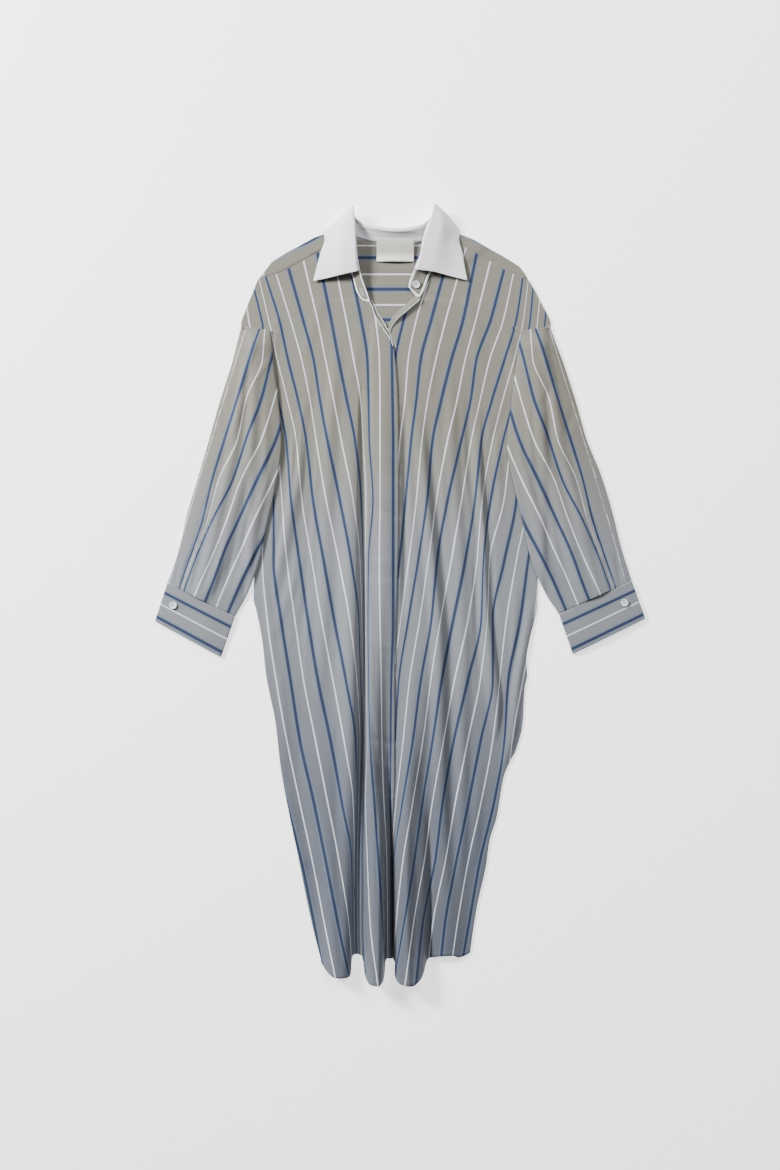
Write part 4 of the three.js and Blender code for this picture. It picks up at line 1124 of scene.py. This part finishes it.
def sleeve_grain(x, y):
    """The stripe at a place on a sleeve. Its first line is white, so it counts from 1."""
    flat_y = np.ravel(y)
    lines = np.array([line(flat_y) for line in sleeve_lines])
    distance = np.abs(np.ravel(x))
    grain = np.empty(len(distance))
    for i, far in enumerate(distance):
        grain[i] = 9 - np.interp(far, lines[::-1, i], np.arange(9), left=-0.5, right=8.4)
    return grain.reshape(np.shape(x))


def tube_piece(name, points, uvs, wall):
    """A sleeve or a cuff from its grid, turned so that its face is outside on either arm."""
    if points[0, 0, 0] > 0:
        points, uvs = points[:, ::-1], uvs[:, ::-1]
    made = Shell().tube(points, uvs, wall).mesh(name + "_cloth", SHIRTING)
    stands_for(made, name)
    return made, points


def sleeve(rows, name):
    points, _, _ = tube_grid(rows, 150, sleeve_top, 1.0, sleeve_support)
    grain = sleeve_grain(points[..., 0], points[..., 1])
    uvs = np.dstack([grain * PITCH, points[..., 1]]) * MM
    return tube_piece(name, points, uvs, WALL)


sleeve_right, _ = sleeve(RIGHT_SLEEVE, "sleeve_right")
sleeve_left, _ = sleeve(LEFT_SLEEVE, "sleeve_left")

# Cuffs

# Straight bands of two layers of shirting and an interlining, with their stripes running round.
# Each is sewn on round a sleeve's end, topstitched along both edges and closed by one button.

CUFF_THICKNESS = 5.6  # pressed flat
CUFF_WIDTH = 120
CUFF_ROWS = 44
CUFF_STRIPES = [[0.25, 0], [0.55, 1], [0.88, 2]]  # place down the cuff, stripe


def cuff_top(w, along, x, y):
    soft = 0.5 * np.sin(w * 9 + 1) * np.sin(np.pi * along) * np.sin(np.pi * w)
    return CUFF_THICKNESS + 2.5 * np.sin(np.pi * w) ** 0.8 + soft


def cuff(rows, name):
    points, across, along = tube_grid(rows, CUFF_ROWS, cuff_top, 1.6, lambda x, y: np.zeros(np.shape(x)))
    uvs = np.dstack([curve(CUFF_STRIPES)(along) * PITCH, across * CUFF_WIDTH]) * MM
    return tube_piece(name, points, uvs, 1.5)


cuff_right, cuff_right_points = cuff(RIGHT_CUFF, "cuff_right")
cuff_left, cuff_left_points = cuff(LEFT_CUFF, "cuff_left")


def cuff_sewing(points, name):
    """Two rows of topstitching, 2 mm in from the cuff's seam and from its edge."""
    upper = np.flatnonzero(grid_normals(points, around=True)[20, :, 2] > 0.3)
    columns = np.arange(upper[0], upper[-1], 1.0)
    rows = [trace(points, row, columns, 0.85, around=True) for row in (1.5, CUFF_ROWS - 1.5)]
    return stitches(name, rows, "shirting")


cuff_right_sewing = cuff_sewing(cuff_right_points, "cuff_right_sewing")
cuff_left_sewing = cuff_sewing(cuff_left_points, "cuff_left_sewing")

# Collar

# White poplin leaf folded over a stand, whose ends are faced with shirting. The stand is sewn into
# the neck's seam, the leaf to the stand's upper edge, and the leaf is topstitched round.

# Stations from the right front's end of the stand to the left one's: seam edge and top edge.
STAND_STATIONS = [
    [[-56, 469, 6.2], [-44, 466, 7]], [[-65, 483, 6.2], [-49, 482, 9]], [[-70, 502, 6.2], [-57, 504, 13]],
    [[-76, 524, 6.4], [-63, 530, 17]], [[-80, 548, 6.8], [-66, 560, 21]], [[-82, 574, 7.2], [-68, 592, 22]],
    [[-82, 592, 6.6], [-70, 602, 11.5]], [[-77, 586, 5.2], [-62, 591, 10.5]],
    [[-65, 572, 4.2], [-55, 584, 13]],
    [[-44, 565, 4.0], [-36, 579.5, 16]], [[-20, 562, 4.0], [-17, 576.5, 17]],
    [[0, 561, 4.0], [0, 575.5, 17.5]],
    [[20, 562, 4.0], [17, 576.5, 17]], [[44, 565, 4.0], [33, 580, 16]], [[65, 572, 4.2], [45, 587, 13]],
    [[77, 586, 5.2], [52, 594, 10.5]], [[82, 592, 6.6], [59, 603, 11.5]], [[80, 572, 7.2], [50, 592, 22]],
    [[74, 548, 6.8], [41, 566, 21]], [[62, 526, 6.4], [36, 540, 17]], [[50, 508, 6.2], [27, 518, 13]],
    [[43, 488, 6.2], [19, 498, 9]], [[34, 471, 6.2], [18, 490, 8]],
]
# Stations of the leaf: its roll over the stand, a shoulder and a fall, and its outer edge.
LEAF_STATIONS = [
    [[-67, 513, 19], [-88, 509, 16], [-112, 504, 10], [-134, 500, 7]],
    [[-67, 532, 23], [-86, 530, 20], [-108, 522, 12], [-129, 520, 7]],
    [[-68, 560, 27], [-84, 558, 24], [-103, 551, 14], [-122, 546, 7]],
    [[-70, 592, 28], [-84, 586, 25], [-100, 577, 14], [-116, 566, 6.8]],
    [[-71, 617, 25], [-80, 612, 20], [-98, 594, 11], [-119, 579, 2.8]],
    [[-70, 614, 18], [-79, 609, 9], [-92, 593, 1.6], [-99, 566, 0.7]],
    [[-68, 602, 15], [-70, 601, 5], [-76, 586, 0.8], [-78, 556, 0.7]],
    [[-57, 591, 15], [-58, 592, 6], [-58, 582, 0.8], [-57, 548, 0.7]],
    [[-36, 585, 18], [-36, 587, 8], [-35, 577, 0.8], [-33, 543, 0.7]],
    [[0, 581, 19.5], [0, 584, 8.5], [0, 575, 0.8], [0, 541, 0.7]],
    [[32, 586, 18], [32, 588, 8], [32, 577, 0.8], [32, 543, 0.7]],
    [[46, 594, 15], [48, 595, 6], [54, 583, 0.8], [55, 548, 0.7]],
    [[57, 606, 15], [61, 605, 5], [71, 588, 0.8], [78, 556, 0.7]],
    [[59, 618, 18], [70, 612, 9], [86, 593, 1.6], [94, 562, 0.7]],
    [[59, 620, 25], [72, 610, 19], [87, 597, 9], [101, 579.5, 2.3]],
    [[52, 592, 28], [70, 586, 25], [85, 577, 14], [98, 566, 6.5]],
    [[43, 564, 27], [63, 558, 24], [84, 551, 14], [103, 546, 7]],
    [[37, 540, 23], [59, 533, 20], [84, 525, 12], [107, 522, 7]],
    [[31, 516, 19], [54, 514, 16], [85, 507, 10], [111, 501, 7]],
]


def white_poplin_material():
    """White shirting poplin with a faint lavender cast."""
    shader = Shader("white_poplin", Roughness=0.78)
    cloud = shader.noise(scale=14.0)
    colour = shader.mix(cloud.between(0.35, 0.7) * 0.5, srgb(240, 239, 244), srgb(232, 231, 238))
    shader.set("Base Color", colour)
    weave = shader.weave(*shader.grain())
    shader.bump(weave * 0.5 + shader.noise(scale=420.0, detail=2.0), distance=0.05 * MM, strength=0.5)
    shader.set("Sheen Weight", 0.1)
    return shader.material


WHITE_POPLIN = white_poplin_material()


def through(stations, rows, columns, bow=0.0):
    """A grid of points through stations, across the band's width."""
    stations = np.array(stations, float)
    count, width = stations.shape[:2]
    down = np.linspace(0, count - 1, rows)
    at = np.linspace(0, width - 1, columns)
    parts = []
    for k in range(3):
        lengthwise = np.array([pchip(range(count), stations[:, j, k], down) for j in range(width)])
        parts.append(np.array([pchip(range(width), lengthwise[:, i], at) for i in range(rows)]))
    points = np.dstack(parts)
    points[..., 2] -= bow * np.sin(np.pi * at / (width - 1))
    return points


def lengths(points):
    """UVs of a grid from its own lengths, in metres."""
    across = np.linalg.norm(np.diff(points, axis=1), axis=2)
    down = np.linalg.norm(np.diff(points, axis=0), axis=2)
    across = np.hstack([np.zeros((len(points), 1)), np.cumsum(across, axis=1)])
    down = np.vstack([np.zeros((1, points.shape[1])), np.cumsum(down, axis=0)])
    return np.dstack([across, down]) * MM


COLLAR_ROWS = 260
LAST_ROW = COLLAR_ROWS - 1
COLLAR_WALL = 1.1
TUCK = 6  # columns that join the leaf's roll to the stand's upper edge


def leaf_grid():
    fall = through(LEAF_STATIONS, COLLAR_ROWS, 48)
    roll, edge = fall[:, 0], stand_points[:, -1]
    nearest = np.array([edge[np.argmin(np.linalg.norm(edge - place, axis=1))] for place in roll])
    joined = [
        mix(nearest + [0, 0, 0.9], roll, t) + [0, 0, 1.2 * math.sin(math.pi * t)]
        for t in np.linspace(0, 1, TUCK, endpoint=False)
    ]
    return np.concatenate([np.array(joined).transpose(1, 0, 2), fall], axis=1)


def collar_piece(points, name):
    made = Shell().sheet(points, lengths(points), COLLAR_WALL).mesh(name + "_cloth", WHITE_POPLIN)
    stands_for(made, name)
    return made


stand_points = through(STAND_STATIONS, COLLAR_ROWS, 12, bow=1.5)
leaf_points = leaf_grid()
collar_stand = collar_piece(stand_points, "collar_stand")
collar_leaf = collar_piece(leaf_points, "collar_leaf")

ROWS_PER_STATION = LAST_ROW / (len(STAND_STATIONS) - 1)


def stand_facing(name, first, last):
    """Shirting laid over the stand's end, inside its white edges."""
    rows = np.linspace(first, last, 40) * ROWS_PER_STATION
    places = [trace(stand_points, rows, column, 0.85)[0] for column in np.linspace(1.6, 9.6, 9)]
    grid = np.array(places).transpose(1, 0, 2)
    faced = Shell().sheet(grid, np.full(grid.shape[:2] + (2,), PLAIN_GRAIN), 0.5).mesh(name, SHIRTING)
    return belongs(faced)


stand_facing_right = stand_facing("stand_facing_right", 0.25, 3.4)
stand_facing_left = stand_facing("stand_facing_left", 19.3, 21.75)


WHITE_THREAD = mottled("white_thread", 0.6, 300.0, (232, 231, 236), (214, 213, 222))
ABOVE_LEAF = COLLAR_WALL / 2 + 0.1
LEAF_EDGE, LEAF_END = TUCK + 43.6, 3.2  # grid column and row of the topstitching, 5 mm in
leaf_down = np.arange(TUCK + 2, LEAF_EDGE, 1.0)
collar_sewing = stitches("collar_sewing", [
    trace(leaf_points, LEAF_END, leaf_down, ABOVE_LEAF),
    trace(leaf_points, np.arange(LEAF_END, 75, 1.0), LEAF_EDGE, ABOVE_LEAF),
    trace(leaf_points, np.arange(185, LAST_ROW - LEAF_END, 1.0), LEAF_EDGE, ABOVE_LEAF),
    trace(leaf_points, LAST_ROW - LEAF_END, leaf_down, ABOVE_LEAF),
], "white_poplin", WHITE_THREAD)


def buttonhole():
    """A worked buttonhole near the stand's right end."""
    turn = np.linspace(0, math.tau, 49)
    middle, normal = trace(stand_points, [1.0 * ROWS_PER_STATION], [5.5], 1.3)
    along = stand_points[18, 5] - stand_points[4, 5]
    along /= np.linalg.norm(along)
    across = np.cross(normal[0], along)
    ring = middle + 6.5 * np.cos(turn)[:, None] * along + 1.3 * np.sin(turn)[:, None] * across
    line = (ring, np.repeat(normal, len(ring), axis=0))
    sizes = {"spacing": 0.55, "length": 0.9, "width": 0.8}
    return stitches("stand_buttonhole", [line], "white_poplin", WHITE_THREAD, **sizes)


stand_buttonhole = buttonhole()

# Buttons

# Four-hole buttons of pale plastic, 12 mm across: one on each cuff and one on the collar stand.
# Such buttons are moulded and sewn on with thread.

HOLE_PLACE = 1.45  # from the middle
HOLE_RADIUS = 0.75
BUTTON_PROFILE = [[0, 1.5], [3.6, 1.5], [4.2, 1.7], [4.8, 2.2], [5.5, 2.2], [5.9, 1.8], [6.0, 1.2]]
BUTTON_PLASTIC = mottled("button_plastic", 0.28, 160.0, (226, 228, 234), (205, 208, 216))


def button(name, place, tilt, spin):
    """A turned button with a raised rim, drilled with four holes."""
    radii = np.concatenate([np.linspace(0.05, 3.4, 26), np.linspace(3.6, 6.0, 14)])
    turn = np.linspace(0, math.tau, 73)[:-1]
    x, y = radii[:, None] * np.cos(turn), radii[:, None] * np.sin(turn)
    z = np.broadcast_to(curve(BUTTON_PROFILE)(radii)[:, None], x.shape).copy()
    for angle in np.radians((45, 135, 225, 315)):
        hole = np.hypot(x - HOLE_PLACE * math.cos(angle), y - HOLE_PLACE * math.sin(angle))
        z -= 1.2 * ramp(HOLE_RADIUS + 0.1, HOLE_RADIUS - 0.15, hole)
    top = np.dstack([x, y, z]).reshape(-1, 3)
    rows, columns = x.shape
    number = np.arange(rows * columns).reshape(rows, columns)
    beside = np.roll(number, -1, axis=1)
    faces = np.stack([number[:-1], number[1:], beside[1:], beside[:-1]], axis=-1).reshape(-1, 4).tolist()
    faces.append(number[0].tolist())
    foot = [[r * math.cos(t), r * math.sin(t), z] for r, z in ((5.9, 0.4), (5.4, 0.0)) for t in turn]
    start = rows * columns
    rim, base = np.arange(columns) + start, np.arange(columns) + start + columns
    for above, below in ((number[-1], rim), (rim, base)):
        for i in range(columns):
            j = (i + 1) % columns
            faces.append([int(above[i]), int(below[i]), int(below[j]), int(above[j])])
    faces.append(base[::-1].tolist())
    points = np.vstack([top, foot])
    c, s = math.cos(spin), math.sin(spin)
    points = points @ np.array([[c, s, 0], [-s, c, 0], [0, 0, 1]])
    cx, sx, cy, sy = math.cos(tilt[0]), math.sin(tilt[0]), math.cos(tilt[1]), math.sin(tilt[1])
    about_x = np.array([[1, 0, 0], [0, cx, -sx], [0, sx, cx]])
    about_y = np.array([[cy, 0, sy], [0, 1, 0], [-sy, 0, cy]])
    points = points @ (about_x @ about_y).T + np.array(place)
    mesh = bpy.data.meshes.new(name)
    mesh.from_pydata(((points - CENTRE) * MM).tolist(), [], faces)
    mesh.polygons.foreach_set("use_smooth", np.ones(len(mesh.polygons), dtype=bool))
    mesh.materials.append(BUTTON_PLASTIC)
    made = bpy.data.objects.new(name + "_plastic", mesh)
    bpy.context.scene.collection.objects.link(made)
    stands_for(made, name)
    return made


button("cuff_button_right", [-358, -18, 8.1], [0, 0], 0.3)
button("cuff_button_left", [362, -14, 8.1], [0, 0], 0.9)
button("collar_button", [30, 494, 8.7], [0.2, 0.1], 0.5)

# Neck label

# A small plain label of cream satin, sewn on below the stand, along its top and the upper part of
# its sides.

LABEL = {"left": -33, "right": 26, "top": 567, "bottom": 531, "top_z": 9.6, "bottom_z": 4.8, "lift": 3.6}


def satin_material():
    shader = Shader("satin", Roughness=0.4)
    across, along = shader.grain()
    # Painted light on the satin: a painted sheen at the top, painted shade through the middle and a painted
    # highlight in a band near the lower edge.
    painted_sheen_and_shade = shader.mix(along.between(12 * MM, 2 * MM) * 0.6, srgb(176, 173, 160), srgb(206, 204, 190))
    lower = shader.mix(along.between(21 * MM, 31 * MM), painted_sheen_and_shade, srgb(232, 230, 219))
    shader.set("Base Color", lower)
    shader.bump((along * (math.tau / (0.5 * MM))).sine(), distance=0.03 * MM, strength=0.5)
    return shader.material


def label_grid():
    c, t = np.meshgrid(np.linspace(0, 1, 40), np.linspace(0, 1, 28))
    x, y = mix(LABEL["left"], LABEL["right"], c), mix(LABEL["top"], LABEL["bottom"], t)
    z = mix(LABEL["top_z"], LABEL["bottom_z"], t ** 0.8) + LABEL["lift"] * np.sin(np.pi * c) * t
    points = np.dstack([x, y, z])
    return points, lengths(points)


label_points = label_grid()[0]
neck_label = Shell().sheet(*label_grid(), 0.5).mesh("neck_label_satin", satin_material())
stands_for(neck_label, "neck_label")
label_sewing = stitches("label_sewing", [
    trace(label_points, 1.2, np.arange(1, 38, 1.0), 0.35),
    trace(label_points, np.arange(1.2, 14, 1.0), 1.4, 0.35),
    trace(label_points, np.arange(1.2, 14, 1.0), 37.4, 0.35),
], "satin", WHITE_THREAD, spacing=2.0, length=1.5, width=0.3)

# Setting

# A pale floor, a large soft light and the camera straight above, as the garment was photographed.
FLOOR = -0.0004


def setting():
    floor_shader = Shader("floor", Roughness=0.9, Emission_Strength=1.4)
    floor_shader.set("Base Color", (0.93, 0.93, 0.93, 1.0))
    floor_shader.set("Emission Color", (1.0, 1.0, 1.0, 1.0))
    mesh = bpy.data.meshes.new("floor")
    corners = [(x, y, FLOOR) for x, y in ((-40, -40), (40, -40), (40, 40), (-40, 40))]
    mesh.from_pydata(corners, [], [(0, 1, 2, 3)])
    mesh.materials.append(floor_shader.material)
    floor = bpy.data.objects.new("floor", mesh)
    bpy.context.scene.collection.objects.link(floor)

    world = bpy.data.worlds.new("studio")
    bpy.context.scene.world = world
    world.use_nodes = True
    background = world.node_tree.nodes["Background"]
    background.inputs["Color"].default_value = (1.0, 1.0, 1.0, 1.0)
    background.inputs["Strength"].default_value = 0.12

    for name, place, size, power in (
        ("key", (-2.6, 1.7, 1.9), 0.8, 340.0),
        ("fill", (1.4, 2.2, 2.8), 1.6, 100.0),
    ):
        lamp = bpy.data.lights.new(name, "AREA")
        lamp.size = size
        lamp.energy = power
        made = bpy.data.objects.new(name, lamp)
        made.location = place
        made.rotation_euler = (Vector((0, 0, 0)) - Vector(place)).to_track_quat("-Z", "Y").to_euler()
        bpy.context.scene.collection.objects.link(made)

    lens = bpy.data.cameras.new("camera")
    lens.lens = 57.7
    camera = bpy.data.objects.new("camera", lens)
    camera.location = (-0.0163, 0.0151, 3.0)
    bpy.context.scene.collection.objects.link(camera)
    bpy.context.scene.camera = camera


setting()
